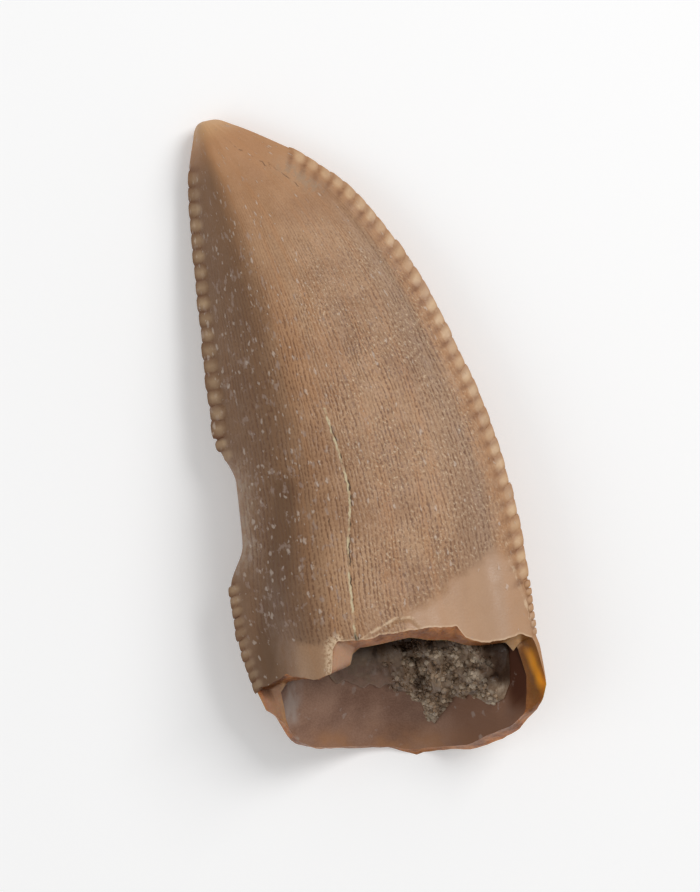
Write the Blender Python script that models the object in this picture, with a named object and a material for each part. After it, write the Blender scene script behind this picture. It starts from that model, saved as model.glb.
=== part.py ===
"""A fossil theropod tooth crown, lying on its flatter cheek, with a crystal crust inside its broken base.

The frame is in metres, +Z up. The tooth lies on the XY plane with its tip towards +Y and its broken base
towards -Y. The origin is on that plane, below the middle of the tooth's bounding box.

The crown is one closed loft: from the tip down its outside to the broken rim, over the wall's broken edge,
and up the inside of the pulp cavity. Small denticles are joined to its two cutting edges. Places across the
crown are given as a share, 0 at the distal edge (-X) and 1 at the mesial edge (+X).
"""

import math

import bmesh
import bpy
import numpy as np
from mathutils import Matrix, Vector

MM = 0.001

# Driving dimensions of the crown
THICKNESS = 6.6 * MM  # cheek to cheek at the base
THICKENING = 0.55  # power by which the crown thickens from the tip
UPPER_SHARE = 0.56  # part of the thickness above the cutting edges
TIP_LIFT = 0.42 * MM  # height of the tip's middle above the surface
TIP_LIFT_END = 0.16  # share of the length where that lift has gone
REST_FLAT = 0.14 * MM  # how far the lower cheek is worn flat
EDGE_TWIST = 0.40 * MM  # mesial edge above, and distal edge below, the mean height at the base
RIDGE_AT = 0.34  # where the upper cheek is highest
DISTAL_FULLNESS = 1.08  # power of the cheek's bulge beside each edge: above 1 it is hollow, below 1 full
MESIAL_FULLNESS = 1.00
LOWER_FULLNESS = 0.92
CHIP_FULLNESS = 0.55  # the same where the distal edge is chipped off
FLUTE_DEPTH = 0.20 * MM  # shallow groove inside the mesial edge
FLUTE_AT = 0.86
FLUTE_WIDTH = 0.05
FLUTE_STARTS = (0.10, 0.30)  # shares of the crown's length
FLUTE_ENDS = (0.95, 0.70)
FOLD_DEPTH = 0.55 * MM  # hollow inside the distal edge, near the base
FOLD_AT = 0.115
FOLD_WIDTH = 0.055
FOLD_STARTS = (0.66, 0.86)

# Cutting edges, tip to base, as (x, y) in millimetres: the lines that the denticles reach
DISTAL_EDGE = [
    (-5.79, 11.42), (-6.12, 11.08), (-6.21, 10.45), (-6.31, 9.40), (-6.24, 8.00), (-6.06, 6.00),
    (-5.82, 3.90), (-5.50, 1.30), (-5.19, -1.20), (-4.92, -3.60), (-4.77, -5.80), (-4.46, -7.50),
    (-3.92, -9.10), (-3.14, -11.80),
]
MESIAL_EDGE = [
    (-5.79, 11.42), (-5.32, 11.48), (-4.69, 11.29), (-3.29, 10.72), (-1.89, 10.04), (-0.74, 9.24),
    (0.71, 7.70), (2.11, 5.68), (3.31, 3.40), (4.41, 0.95), (5.31, -1.80), (5.88, -4.50), (6.26, -7.00),
    (6.58, -8.90), (6.56, -11.80),
]
EDGE_INSET = 0.14 * MM  # the crown's own edge, inside the denticles' tips
EDGE_INSET_STARTS = 0.02  # share of the length over which that inset grows from nothing at the tip

# The chip out of the distal edge, by height along Y
CHIP_DEPTH = 0.50 * MM
CHIP_TOP = (-0.20 * MM, -1.70 * MM)  # where it starts and where it is deepest
CHIP_FOOT = (-5.50 * MM, -3.90 * MM)

# The broken rim's outer line, as (share across the crown, y in millimetres)
UPPER_RIM = [
    (0.00, -9.10), (0.06, -8.90), (0.125, -8.52), (0.17, -8.60), (0.23, -8.60), (0.28, -8.37),
    (0.31, -7.55), (0.33, -7.28), (0.40, -7.22), (0.51, -6.97), (0.65, -6.80), (0.735, -6.75),
    (0.757, -7.15), (0.785, -7.30), (0.85, -7.33), (0.89, -7.28), (0.945, -7.10), (0.985, -7.20),
    (1.00, -8.20),
]
LOWER_RIM = [
    (0.00, -9.10), (0.013, -9.86), (0.037, -10.00), (0.051, -10.44), (0.066, -10.87), (0.09, -11.05),
    (0.175, -11.23), (0.32, -11.23), (0.436, -11.21), (0.48, -11.33), (0.52, -11.49), (0.555, -11.38),
    (0.61, -11.30), (0.735, -11.27), (0.788, -11.09), (0.845, -10.84), (0.905, -10.48), (0.937, -10.00),
    (0.967, -9.58), (1.00, -8.20),
]
# Its inner line, with the share taken across the pulp cavity
UPPER_MOUTH = [
    (0.00, -9.20), (0.035, -8.85), (0.10, -8.68), (0.17, -8.68), (0.21, -8.50), (0.31, -8.12),
    (0.335, -7.72), (0.37, -7.50), (0.50, -7.29), (0.57, -7.16), (0.64, -7.24), (0.72, -7.27),
    (0.795, -7.48), (0.84, -7.50), (0.918, -7.45), (0.953, -7.40), (0.982, -7.64), (1.00, -8.60),
]
LOWER_MOUTH = [
    (0.00, -9.20), (0.012, -10.15), (0.03, -10.62), (0.06, -10.91), (0.12, -11.12), (0.28, -11.14),
    (0.45, -11.16), (0.51, -11.30), (0.62, -11.18), (0.76, -11.08), (0.82, -10.76), (0.93, -10.37),
    (0.985, -9.90), (1.00, -8.60),
]

# The pulp cavity
CAVITY_END = 0.56  # its deep end, as a share of the crown's length
CAVITY_DOME = 0.12  # length over which it closes there
CAVITY_FLARE_END = 0.80  # share of the length where it has widened fully
CAVITY_SIDES = (0.085, 0.935)  # its two sides at the rim
CAVITY_SIDES_DEEP = (0.30, 0.80)  # and at the deep end
CAVITY_ROUNDING = 0.55  # power of the rounding at its sides
CAVITY_MIDDLE = 0.50  # height of its two sides, as a share of the crown's thickness there
UPPER_WALL = 0.55 * MM
UPPER_WALL_MOST = 0.30  # neither wall is more than this share of the thickness
LOWER_WALL = 1.35 * MM  # thick floor, which thins to a feather edge at the rim
LOWER_WALL_MOST = 0.35
LOWER_WALL_RIM = 0.22 * MM
LOWER_WALL_THINS = (-8.60 * MM, -11.30 * MM)
DISTAL_WALL_RIM = 0.045  # the distal side thins too, as a share across the crown

# Denticles
DENTICLE_PROUD = 0.02 * MM
DENTICLE_SIDES = 6
DENTICLE_RINGS = 4
DENTICLE_FILL = 0.45  # half length along the edge, as a share of the pitch
AHEAD = 0.004  # share of the length to the next point that gives a denticle its direction
# Each row: edge, highest and lowest y, pitch at the top and at the bottom, depth into the crown, half height
DENTICLE_ROWS = [
    ("distal", 9.34 * MM, 0.10 * MM, 0.550 * MM, 0.590 * MM, 0.58 * MM, 0.30 * MM),
    ("distal", -5.55 * MM, -9.00 * MM, 0.400 * MM, 0.360 * MM, 0.44 * MM, 0.22 * MM),
    ("mesial", 10.22 * MM, -4.85 * MM, 0.545 * MM, 0.430 * MM, 0.54 * MM, 0.27 * MM),
    ("mesial", -5.10 * MM, -6.95 * MM, 0.360 * MM, 0.320 * MM, 0.40 * MM, 0.22 * MM),
]

# The crystal crust: the line where it thins out, as (share across the cavity, y in millimetres)
CRUST_FRONT = [
    (0.00, -5.60), (0.135, -6.30), (0.29, -7.10), (0.325, -8.00), (0.37, -8.80), (0.43, -9.10),
    (0.52, -9.35), (0.565, -9.75), (0.595, -10.30), (0.62, -10.45), (0.65, -10.00), (0.68, -9.55),
    (0.76, -9.40), (0.84, -9.55), (0.91, -9.40), (0.97, -8.40), (1.00, -7.60),
]
CRUST_GAP = 0.30 * MM  # to the cavity's wall
CRUST_SIDES = (0.11, 0.90)  # as shares across the cavity
CRUST_EDGE = 0.16 * MM
CRUST_SLOPE = 0.42  # rise per unit length behind the front
CRUST_CURVE = 0.10 / MM
CRUST_END = 0.61  # its deep end, as a share of the crown's length
CROWN_LENGTH = 24.0 * MM  # along the crown's middle, from the tip to the farthest rim
CRYSTAL_COUNT = 32
CRYSTAL_SIZES = (0.20 * MM, 0.42 * MM)
CRYSTAL_SPREAD = 1.6  # least distance between two crystals, in their mean sizes
CRYSTAL_ACROSS = (0.22, 0.82)  # where they lie, as shares across the cavity
CRYSTAL_BACK = (0.06, 0.42)  # and from the crust's front to its deep end
CRYSTAL_SEED = 7

# Mesh resolution
UPPER_COLUMNS = 26
LOWER_COLUMNS = 20
OUTER_ROWS = 28
INNER_ROWS = 6
COLUMN_CLOSENESS = 0.6  # above 0, columns are closer together towards the two edges
ROW_CLOSENESS = 1.25  # power that brings the rows closer together towards the tip
ROW_EVENNESS = 5.0  # power by which the rows take on the rim's broken line towards the base
SHARP_ANGLE = math.radians(40.0)  # a steeper edge between two faces is shaded sharp
CRUST_COLUMNS = 16
CRUST_ROWS = 10


def eased(value, start, end):
    """0 before start, 1 after end, and a smooth step between them."""
    share = np.clip((value - start) / (end - start), 0.0, 1.0)
    return share * share * (3.0 - 2.0 * share)


def smooth_line(points, steps=16):
    """Closely spaced points of a smooth curve through the given ones, and the share of its length at each."""
    knots = np.array(points, float) * MM
    at = np.concatenate([[0.0], np.cumsum(np.linalg.norm(np.diff(knots, axis=0), axis=1))])
    slopes = np.gradient(knots, at, axis=0)
    line = [knots[:1]]
    for i in range(len(knots) - 1):
        s = np.linspace(0.0, 1.0, steps + 1)[1:, None]
        gap = at[i + 1] - at[i]
        line.append(
            (2 * s**3 - 3 * s**2 + 1) * knots[i]
            + (s**3 - 2 * s**2 + s) * gap * slopes[i]
            + (3 * s**2 - 2 * s**3) * knots[i + 1]
            + (s**3 - s**2) * gap * slopes[i + 1]
        )
    line = np.vstack(line)
    length = np.concatenate([[0.0], np.cumsum(np.linalg.norm(np.diff(line, axis=0), axis=1))])
    return line, length / length[-1]


EDGES = {"distal": smooth_line(DISTAL_EDGE), "mesial": smooth_line(MESIAL_EDGE)}
OUTWARD = {"distal": -1.0, "mesial": 1.0}


def chip_share(y):
    """How much of the chip's depth is missing from the distal edge at height y."""
    return eased(y, CHIP_TOP[0], CHIP_TOP[1]) * eased(y, *CHIP_FOOT)


def edge_point(name, t, inset=EDGE_INSET):
    """(x, y) of a cutting edge at share t of its length, moved into the crown by inset."""
    line, share = EDGES[name]
    x, y = np.interp(t, share, line[:, 0]), np.interp(t, share, line[:, 1])
    tangent = np.gradient(line, share, axis=0)
    tx, ty = np.interp(t, share, tangent[:, 0]), np.interp(t, share, tangent[:, 1])
    size = np.hypot(tx, ty)
    inward = inset * np.minimum(1.0, t / EDGE_INSET_STARTS)
    x, y = x + OUTWARD[name] * ty / size * inward, y - OUTWARD[name] * tx / size * inward
    if name == "distal":
        x = x + CHIP_DEPTH * chip_share(y)
    return x, y


def rounded(share, peak, distal_power, mesial_power):
    """A cheek's bulge across the crown: 0 at both edges and 1 at the peak."""
    left = np.sin(0.5 * math.pi * np.clip(share / peak, 0.0, 1.0)) ** distal_power
    right = np.sin(0.5 * math.pi * np.clip((1.0 - share) / (1.0 - peak), 0.0, 1.0)) ** mesial_power
    return np.where(share < peak, left, right)


def dip(share, middle, width):
    return np.exp(-(((share - middle) / width) ** 2))


def outside(t, u, upper):
    """Points of the crown's outside at share t of its length and share u across it, as an (N, 3) array."""
    (ax, ay), (bx, by) = edge_point("distal", t), edge_point("mesial", t)
    x, y = ax + (bx - ax) * u, ay + (by - ay) * u
    thickness = THICKNESS * t**THICKENING
    lower = (1.0 - UPPER_SHARE) * thickness
    lift = TIP_LIFT * (1.0 - eased(t, 0.0, TIP_LIFT_END)) - REST_FLAT * eased(t, 0.0, TIP_LIFT_END)
    middle = lower + lift + EDGE_TWIST * t * (2.0 * u - 1.0)
    distal_power = DISTAL_FULLNESS + (CHIP_FULLNESS - DISTAL_FULLNESS) * chip_share(ay)
    bulge = UPPER_SHARE * thickness * rounded(u, RIDGE_AT, distal_power, MESIAL_FULLNESS)
    flute = FLUTE_DEPTH * dip(u, FLUTE_AT, FLUTE_WIDTH) * eased(t, *FLUTE_STARTS) * eased(t, *FLUTE_ENDS)
    fold = FOLD_DEPTH * dip(u, FOLD_AT, FOLD_WIDTH) * eased(t, *FOLD_STARTS)
    top = middle + bulge - flute - fold
    bottom = np.maximum(0.0, middle - lower * rounded(u, 0.5, LOWER_FULLNESS, LOWER_FULLNESS))
    return np.stack([x, y, np.where(upper, top, bottom)], axis=-1)


def cavity_sides(t, y):
    """The cavity's two sides, as shares across the crown."""
    out = eased(t, CAVITY_END, CAVITY_FLARE_END)
    thin = eased(y, *LOWER_WALL_THINS)
    distal = CAVITY_SIDES_DEEP[0] + (CAVITY_SIDES[0] - CAVITY_SIDES_DEEP[0]) * out - (
        CAVITY_SIDES[0] - DISTAL_WALL_RIM
    ) * thin
    mesial = CAVITY_SIDES_DEEP[1] + (CAVITY_SIDES[1] - CAVITY_SIDES_DEEP[1]) * out
    return distal, mesial


def inside(t, q, upper):
    """Points of the cavity's wall at share t of the crown's length and share q across the cavity."""
    middle_y = outside(t, np.full_like(t, 0.5), upper)[:, 1]
    distal, mesial = cavity_sides(t, middle_y)
    dome = np.sqrt(np.clip(1.0 - (1.0 - np.clip((t - CAVITY_END) / CAVITY_DOME, 0.0, 1.0)) ** 2, 0.0, 1.0))
    centre = 0.5 * (distal + mesial)
    u = centre + (distal + (mesial - distal) * q - centre) * dome
    top, bottom = outside(t, u, True), outside(t, u, False)
    thick = top[:, 2] - bottom[:, 2]
    middle = bottom[:, 2] + CAVITY_MIDDLE * thick
    upper_wall = np.minimum(UPPER_WALL, UPPER_WALL_MOST * thick)
    lower_wall = LOWER_WALL + (LOWER_WALL_RIM - LOWER_WALL) * eased(top[:, 1], *LOWER_WALL_THINS)
    lower_wall = np.minimum(lower_wall, LOWER_WALL_MOST * thick)
    wall = np.where(upper, top[:, 2] - upper_wall, bottom[:, 2] + lower_wall)
    round_off = np.sin(math.pi * np.clip(q, 0.0, 1.0)) ** CAVITY_ROUNDING * dome
    top[:, 2] = middle + (wall - middle) * round_off
    return top


def length_share_at(surface, across, upper, y):
    """The share of the crown's length where a surface's column, at a share across it, reaches height y."""
    t = np.linspace(CAVITY_END, 1.0, 300)
    found = []
    for share, side, height in zip(across, upper, y):
        column = surface(t, np.full_like(t, share), np.full_like(t, side, bool))
        found.append(np.interp(-height, -column[:, 1], t))
    return np.array(found)


def line_height(line, u):
    """The height along Y, in metres, of a line given by (share across the crown, y in millimetres)."""
    shares, heights = np.array(line).T
    return np.interp(u, shares, heights) * MM


def columns():
    """The share across the crown of each column round it, and whether the column is on the upper cheek."""
    over = np.linspace(0.0, 1.0, UPPER_COLUMNS + 1)
    under = np.linspace(1.0, 0.0, LOWER_COLUMNS + 1)[1:-1]
    even = np.concatenate([over, under])
    closer = even - COLUMN_CLOSENESS * np.sin(2.0 * math.pi * even) / (2.0 * math.pi)
    return closer, np.arange(len(even)) < len(over)


def new_object(name, mesh, collection, guide=False):
    made = bpy.data.objects.new(name, mesh)
    made.hide_render = guide
    made.display_type = "WIRE" if guide else "TEXTURED"
    collection.objects.link(made)
    return made


def as_mesh(name, shape):
    mesh = bpy.data.meshes.new(name)
    shape.to_mesh(mesh)
    shape.free()
    return mesh


def tube_mesh(name, start, rings, end):
    """A closed mesh through rings of points, with a point at each end."""
    shape = bmesh.new()
    loops = [[shape.verts.new(p) for p in ring] for ring in rings]
    for first, second in zip(loops, loops[1:]):
        for i in range(len(first)):
            k = (i + 1) % len(first)
            shape.faces.new((first[i], first[k], second[k], second[i]))
    for pole, ring in ((shape.verts.new(start), loops[0]), (shape.verts.new(end), loops[-1])):
        for i in range(len(ring)):
            shape.faces.new((pole, ring[i], ring[(i + 1) % len(ring)]))
    bmesh.ops.recalc_face_normals(shape, faces=shape.faces)
    return as_mesh(name, shape)


def crown_mesh():
    u, upper = columns()
    rim = np.where(upper, line_height(UPPER_RIM, u), line_height(LOWER_RIM, u))
    rim_t = length_share_at(outside, u, upper, rim)
    mouth = np.where(upper, line_height(UPPER_MOUTH, u), line_height(LOWER_MOUTH, u))
    mouth_t = length_share_at(inside, u, upper, mouth)
    mean_t = rim_t.mean()
    rings = []
    for row in np.linspace(0.0, 1.0, OUTER_ROWS + 1)[1:] ** ROW_CLOSENESS:
        rings.append(outside(mean_t * row + (rim_t - mean_t) * row**ROW_EVENNESS, u, upper))
    for row in np.linspace(1.0, 0.0, INNER_ROWS + 1)[:-1]:
        rings.append(inside(CAVITY_END + (mouth_t - CAVITY_END) * row, u, upper))
    tip = outside(np.zeros(1), np.zeros(1), True)[0]
    deep_end = inside(np.array([CAVITY_END]), np.array([0.5]), True)[0]
    return tube_mesh("tooth_crown", tip, rings, deep_end)


def denticle_places(edge, top, foot, pitch_top, pitch_foot):
    """The length shares of a row's denticles along their edge, and the pitch at each."""
    line, share = EDGES[edge]
    length = np.linalg.norm(np.diff(line, axis=0), axis=1).sum()
    begin, end = (float(np.interp(-y, -line[:, 1], share)) for y in (top, foot))
    places, at = [], begin
    while at < end:
        pitch = pitch_top + (pitch_foot - pitch_top) * (at - begin) / (end - begin)
        places.append((at, pitch))
        at += pitch / length
    return places


def add_denticles(collection):
    """Small ellipsoids along both cutting edges, as one guide that is then joined to the crown."""
    every = bmesh.new()
    for edge, top, foot, pitch_top, pitch_foot, depth, half_height in DENTICLE_ROWS:
        for t, pitch in denticle_places(edge, top, foot, pitch_top, pitch_foot):
            at = np.array([t])
            x, y = (float(v[0]) for v in edge_point(edge, at, inset=0.5 * depth - DENTICLE_PROUD))
            ahead = edge_point(edge, at + AHEAD, inset=0.5 * depth - DENTICLE_PROUD)
            turn = math.atan2(float(ahead[1][0]) - y, float(ahead[0][0]) - x)
            z = float(outside(at, np.array([0.0 if edge == "distal" else 1.0]), True)[0, 2])
            size = Matrix.Diagonal((DENTICLE_FILL * pitch, 0.5 * depth, half_height, 1.0))
            place = Matrix.Translation((x, y, z)) @ Matrix.Rotation(turn, 4, "Z") @ size
            bmesh.ops.create_uvsphere(
                every, u_segments=DENTICLE_SIDES, v_segments=DENTICLE_RINGS, radius=1.0, matrix=place
            )
    return new_object("denticles", as_mesh("denticles", every), collection, guide=True)


def crust_surfaces(q, back):
    """The crust's underside and top, at shares q across the cavity and shares back from its front."""
    front = length_share_at(inside, q, np.zeros_like(q), line_height(CRUST_FRONT, q))
    t = front + (CRUST_END - front) * back
    floor, roof = inside(t, q, False), inside(t, q, True)
    behind = (front - t) * CROWN_LENGTH
    rise = CRUST_EDGE + CRUST_SLOPE * behind + CRUST_CURVE * behind**2
    under, over = floor.copy(), floor.copy()
    under[:, 2] += CRUST_GAP
    ceiling = np.maximum(roof[:, 2] - CRUST_GAP, under[:, 2] + 0.5 * CRUST_EDGE)
    over[:, 2] = np.minimum(under[:, 2] + rise, ceiling)
    return under, over


def crust_mesh():
    """A closed slab that follows the cavity's floor, thin at its front and full at its deep end."""
    across = np.linspace(CRUST_SIDES[0], CRUST_SIDES[1], CRUST_COLUMNS + 1)
    shape = bmesh.new()
    sheets = []
    for which in (0, 1):
        rows = []
        for back in np.linspace(0.0, 1.0, CRUST_ROWS + 1):
            points = crust_surfaces(across, np.full_like(across, back))[which]
            rows.append([shape.verts.new(p) for p in points])
        sheets.append(rows)
        for i in range(CRUST_ROWS):
            for k in range(CRUST_COLUMNS):
                shape.faces.new((rows[i][k], rows[i][k + 1], rows[i + 1][k + 1], rows[i + 1][k]))
    borders = []
    for rows in sheets:
        borders.append(
            rows[0][:-1]
            + [row[-1] for row in rows[:-1]]
            + rows[-1][:0:-1]
            + [row[0] for row in rows[:0:-1]]
        )
    for i in range(len(borders[0])):
        k = (i + 1) % len(borders[0])
        shape.faces.new((borders[0][i], borders[0][k], borders[1][k], borders[1][i]))
    bmesh.ops.recalc_face_normals(shape, faces=shape.faces)
    return as_mesh("crystal_crust", shape)


def add_crystals(collection):
    """Small flat-faced crystals, sunk in the crust's top, as one guide that is then joined to it."""
    chance = np.random.default_rng(CRYSTAL_SEED)
    every = bmesh.new()
    placed = []
    while len(placed) < CRYSTAL_COUNT:
        q, back = chance.uniform(*CRYSTAL_ACROSS), chance.uniform(*CRYSTAL_BACK)
        size = chance.uniform(*CRYSTAL_SIZES)
        turns = chance.uniform(0.0, math.pi, 3)
        at = Vector(crust_surfaces(np.array([q]), np.array([back]))[1][0])
        if any((at - other).length < 0.5 * CRYSTAL_SPREAD * (size + wide) for other, wide in placed):
            continue
        placed.append((at, size))
        turn = Matrix.Identity(4)
        for angle, axis in zip(turns, "ZXY"):
            turn = turn @ Matrix.Rotation(angle, 4, axis)
        bmesh.ops.create_cube(every, size=size, matrix=Matrix.Translation(at) @ turn)
    return new_object("crystals", as_mesh("crystals", every), collection, guide=True)


def join(target, other):
    union = target.modifiers.new("union", "BOOLEAN")
    union.operation = "UNION"
    union.object = other


def finish(name, colour, roughness, target):
    material = bpy.data.materials.new(name)
    material.use_nodes = True
    shader = material.node_tree.nodes["Principled BSDF"]
    shader.inputs["Base Color"].default_value = (*colour, 1.0)
    shader.inputs["Roughness"].default_value = roughness
    shader.inputs["Metallic"].default_value = 0.0
    target.data.materials.append(material)
    target.data.shade_smooth()
    target.data.set_sharp_from_angle(angle=SHARP_ANGLE)


def new_collection(name):
    made = bpy.data.collections.new(name)
    bpy.context.scene.collection.children.link(made)
    return made


def main():
    for old in list(bpy.data.objects):
        bpy.data.objects.remove(old)
    tooth = new_collection("fossil_tooth")
    guides = new_collection("guides")
    crown = new_object("tooth_crown", crown_mesh(), tooth)
    join(crown, add_denticles(guides))
    finish("enamel", (0.42, 0.28, 0.18), 0.42, crown)
    crust = new_object("crystal_crust", crust_mesh(), tooth)
    join(crust, add_crystals(guides))
    finish("calcite", (0.25, 0.21, 0.17), 0.55, crust)


main()
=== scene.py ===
"""The looks of a fossil theropod tooth crown that lies on one cheek on a pale floor, seen from above.

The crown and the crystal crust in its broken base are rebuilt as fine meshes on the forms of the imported
solids. Lengths in this file are millimetres, until a mesh is written in metres. A place on the crown is given
by a share across it, 0 at the distal edge (-X) and 1 at the mesial edge (+X), and a share of its length,
0 at the tip and about 1 at the broken base.
"""

import logging
import math
from abc import ABC, abstractmethod
from collections.abc import Callable, Iterable
from dataclasses import dataclass, field
from enum import Enum
from functools import cached_property

import bpy
import numpy as np
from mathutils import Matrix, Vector


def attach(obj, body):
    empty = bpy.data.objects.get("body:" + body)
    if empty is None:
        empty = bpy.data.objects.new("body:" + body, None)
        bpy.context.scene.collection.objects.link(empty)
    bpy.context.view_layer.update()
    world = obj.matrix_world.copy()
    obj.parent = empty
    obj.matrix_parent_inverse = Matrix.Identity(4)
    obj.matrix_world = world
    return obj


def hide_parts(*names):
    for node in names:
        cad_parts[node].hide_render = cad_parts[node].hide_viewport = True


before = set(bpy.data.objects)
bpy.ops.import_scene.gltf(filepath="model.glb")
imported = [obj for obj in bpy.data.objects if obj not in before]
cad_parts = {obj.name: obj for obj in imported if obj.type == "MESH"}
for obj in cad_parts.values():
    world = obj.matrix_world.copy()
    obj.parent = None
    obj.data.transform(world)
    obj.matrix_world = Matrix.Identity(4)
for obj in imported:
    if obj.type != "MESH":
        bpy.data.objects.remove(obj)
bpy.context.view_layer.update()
MM = 0.001
LOG = logging.getLogger("tooth")
Point = tuple[float, float]
Points = list[Point]
Socket = bpy.types.NodeSocket
Given = Socket | float | tuple


class Edge(Enum):
    """The two cutting edges; the value is the X direction that points out of the crown there."""

    DISTAL = -1.0
    MESIAL = 1.0


class Zone(Enum):
    """The crown's surfaces; the value is the material slot of each."""

    ENAMEL = 0
    BREAK = 1
    CAVITY = 2


def tone(red: int, green: int, blue: int) -> tuple[float, float, float, float]:
    """A colour given as it looks on a screen, 0 to 255, as the linear colour that a shader takes."""
    parts = (c / 255.0 for c in (red, green, blue))
    linear = [c / 12.92 if c <= 0.04045 else ((c + 0.055) / 1.055) ** 2.4 for c in parts]
    return (linear[0], linear[1], linear[2], 1.0)


def eased(value: np.ndarray, start: float, end: float) -> np.ndarray:
    """0 before start, 1 after end, and a smooth step between them."""
    share = np.clip((value - start) / (end - start), 0.0, 1.0)
    return share * share * (3.0 - 2.0 * share)


def dip(value: np.ndarray, middle: float, width: float) -> np.ndarray:
    """A smooth bump of height 1 at middle."""
    return np.exp(-(((value - middle) / width) ** 2))


def uneven(x: np.ndarray, y: np.ndarray, seed: int) -> np.ndarray:
    """Smooth random values between -1 and 1 that change once a unit of x and of y.

    Args:
        x: Where to read the values, along the first direction.
        y: The same, along the second direction.
        seed: Fixes the random values.

    Returns:
        An array shaped like x.
    """
    size = 97
    table = np.random.default_rng(seed).uniform(-1.0, 1.0, (size, size))
    column, row = np.floor(x).astype(int), np.floor(y).astype(int)
    across, down = x - column, y - row
    across, down = across * across * (3.0 - 2.0 * across), down * down * (3.0 - 2.0 * down)
    first, second = column % size, (column + 1) % size
    above, below = row % size, (row + 1) % size
    top = table[first, above] * (1.0 - across) + table[second, above] * across
    foot = table[first, below] * (1.0 - across) + table[second, below] * across
    return top * (1.0 - down) + foot * down


def domes(x: np.ndarray, y: np.ndarray, seed: int) -> np.ndarray:
    """Heights, 0 to about 0.9, of rounded lumps that stand close together, one a unit of x and of y.

    Args:
        x: Where to read the heights, along the first direction.
        y: The same, along the second direction.
        seed: Fixes where the lumps stand, and their sizes.

    Returns:
        An array shaped like x.
    """
    size = 89
    chance = np.random.default_rng(seed).uniform(0.0, 1.0, (3, size, size))
    column, row = np.floor(x).astype(int), np.floor(y).astype(int)
    height = np.zeros_like(x)
    for i in (-1, 0, 1):
        for k in (-1, 0, 1):
            a, b = (column + i) % size, (row + k) % size
            off_x, off_y = column + i + chance[0, a, b] - x, row + k + chance[1, a, b] - y
            reach = 0.50 + 0.40 * chance[2, a, b]
            left = np.clip(1.0 - (off_x**2 + off_y**2) / reach**2, 0.0, 1.0)
            height = np.maximum(height, reach * np.sqrt(left))
    return height


def smooth_line(points: Points, steps: int = 16) -> tuple[np.ndarray, np.ndarray]:
    """Closely spaced points of a smooth curve through the given ones.

    Args:
        points: The points that the curve goes through.
        steps: How many short pieces each gap is divided in.

    Returns:
        The curve's points, and the share of its length at each.
    """
    knots = np.array(points, float)
    at = np.concatenate([[0.0], np.cumsum(np.linalg.norm(np.diff(knots, axis=0), axis=1))])
    slopes = np.gradient(knots, at, axis=0)
    line = [knots[:1]]
    for i in range(len(knots) - 1):
        s = np.linspace(0.0, 1.0, steps + 1)[1:, None]
        gap = at[i + 1] - at[i]
        line.append(
            (2 * s**3 - 3 * s**2 + 1) * knots[i]
            + (s**3 - 2 * s**2 + s) * gap * slopes[i]
            + (3 * s**2 - 2 * s**3) * knots[i + 1]
            + (s**3 - s**2) * gap * slopes[i + 1]
        )
    joined = np.vstack(line)
    length = np.concatenate([[0.0], np.cumsum(np.linalg.norm(np.diff(joined, axis=0), axis=1))])
    return joined, length / length[-1]


def line_height(line: Points, share: np.ndarray) -> np.ndarray:
    """The y of a line given by (share, y) points, at each share."""
    shares, heights = np.array(line).T
    return np.interp(share, shares, heights)


def segment_distance(x: np.ndarray, y: np.ndarray, start: Point, end: Point) -> np.ndarray:
    """How far each point is from the straight line between two others."""
    (ax, ay), (bx, by) = start, end
    reach = (bx - ax) ** 2 + (by - ay) ** 2
    share = np.clip(((x - ax) * (bx - ax) + (y - ay) * (by - ay)) / reach, 0.0, 1.0)
    return np.hypot(x - ax - share * (bx - ax), y - ay - share * (by - ay))


def distance_inside(x: np.ndarray, y: np.ndarray, outline: Points) -> np.ndarray:
    """How far each point lies inside a closed outline, less than 0 outside it.

    Args:
        x: The points' x.
        y: The points' y.
        outline: The outline's corners, in order.

    Returns:
        The distance to the outline, positive inside.
    """
    corners = np.array(outline)
    nearest = np.full(x.shape, np.inf)
    inside = np.zeros(x.shape, bool)
    for (ax, ay), (bx, by) in zip(corners, np.roll(corners, -1, axis=0)):
        nearest = np.minimum(nearest, segment_distance(x, y, (ax, ay), (bx, by)))
        crosses = (ay > y) != (by > y)
        inside ^= crosses & (x < (bx - ax) * (y - ay) / np.where(by == ay, 1.0, by - ay) + ax)
    return np.where(inside, nearest, -nearest)


def beside_lines(x: np.ndarray, y: np.ndarray, lines: list[Points]) -> np.ndarray:
    """How far each point lies to the side of the nearest of several lines.

    Args:
        x: The points' x.
        y: The points' y.
        lines: The lines, each given by its points.

    Returns:
        The distance, less than 0 on one side of the line and more than 0 on the other.
    """
    nearest = np.full(x.shape, 9.0)
    for line in lines:
        for (ax, ay), (bx, by) in zip(line, line[1:]):
            far = segment_distance(x, y, (ax, ay), (bx, by))
            side = np.where((bx - ax) * (y - ay) - (by - ay) * (x - ax) < 0.0, -1.0, 1.0)
            nearest = np.where(far < np.abs(nearest), side * far, nearest)
    return nearest


def in_patch(x: np.ndarray, y: np.ndarray, outline: Points, start: float, end: float) -> np.ndarray:
    """0 outside an outline and 1 inside it, with a smooth step between two distances inside it."""
    return eased(distance_inside(x, y, outline), start, end)


def on_line(x: np.ndarray, y: np.ndarray, line: Points, width: float) -> np.ndarray:
    """A smooth bump of height 1 along a line."""
    return dip(beside_lines(x, y, [line]), 0.0, width)


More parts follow.
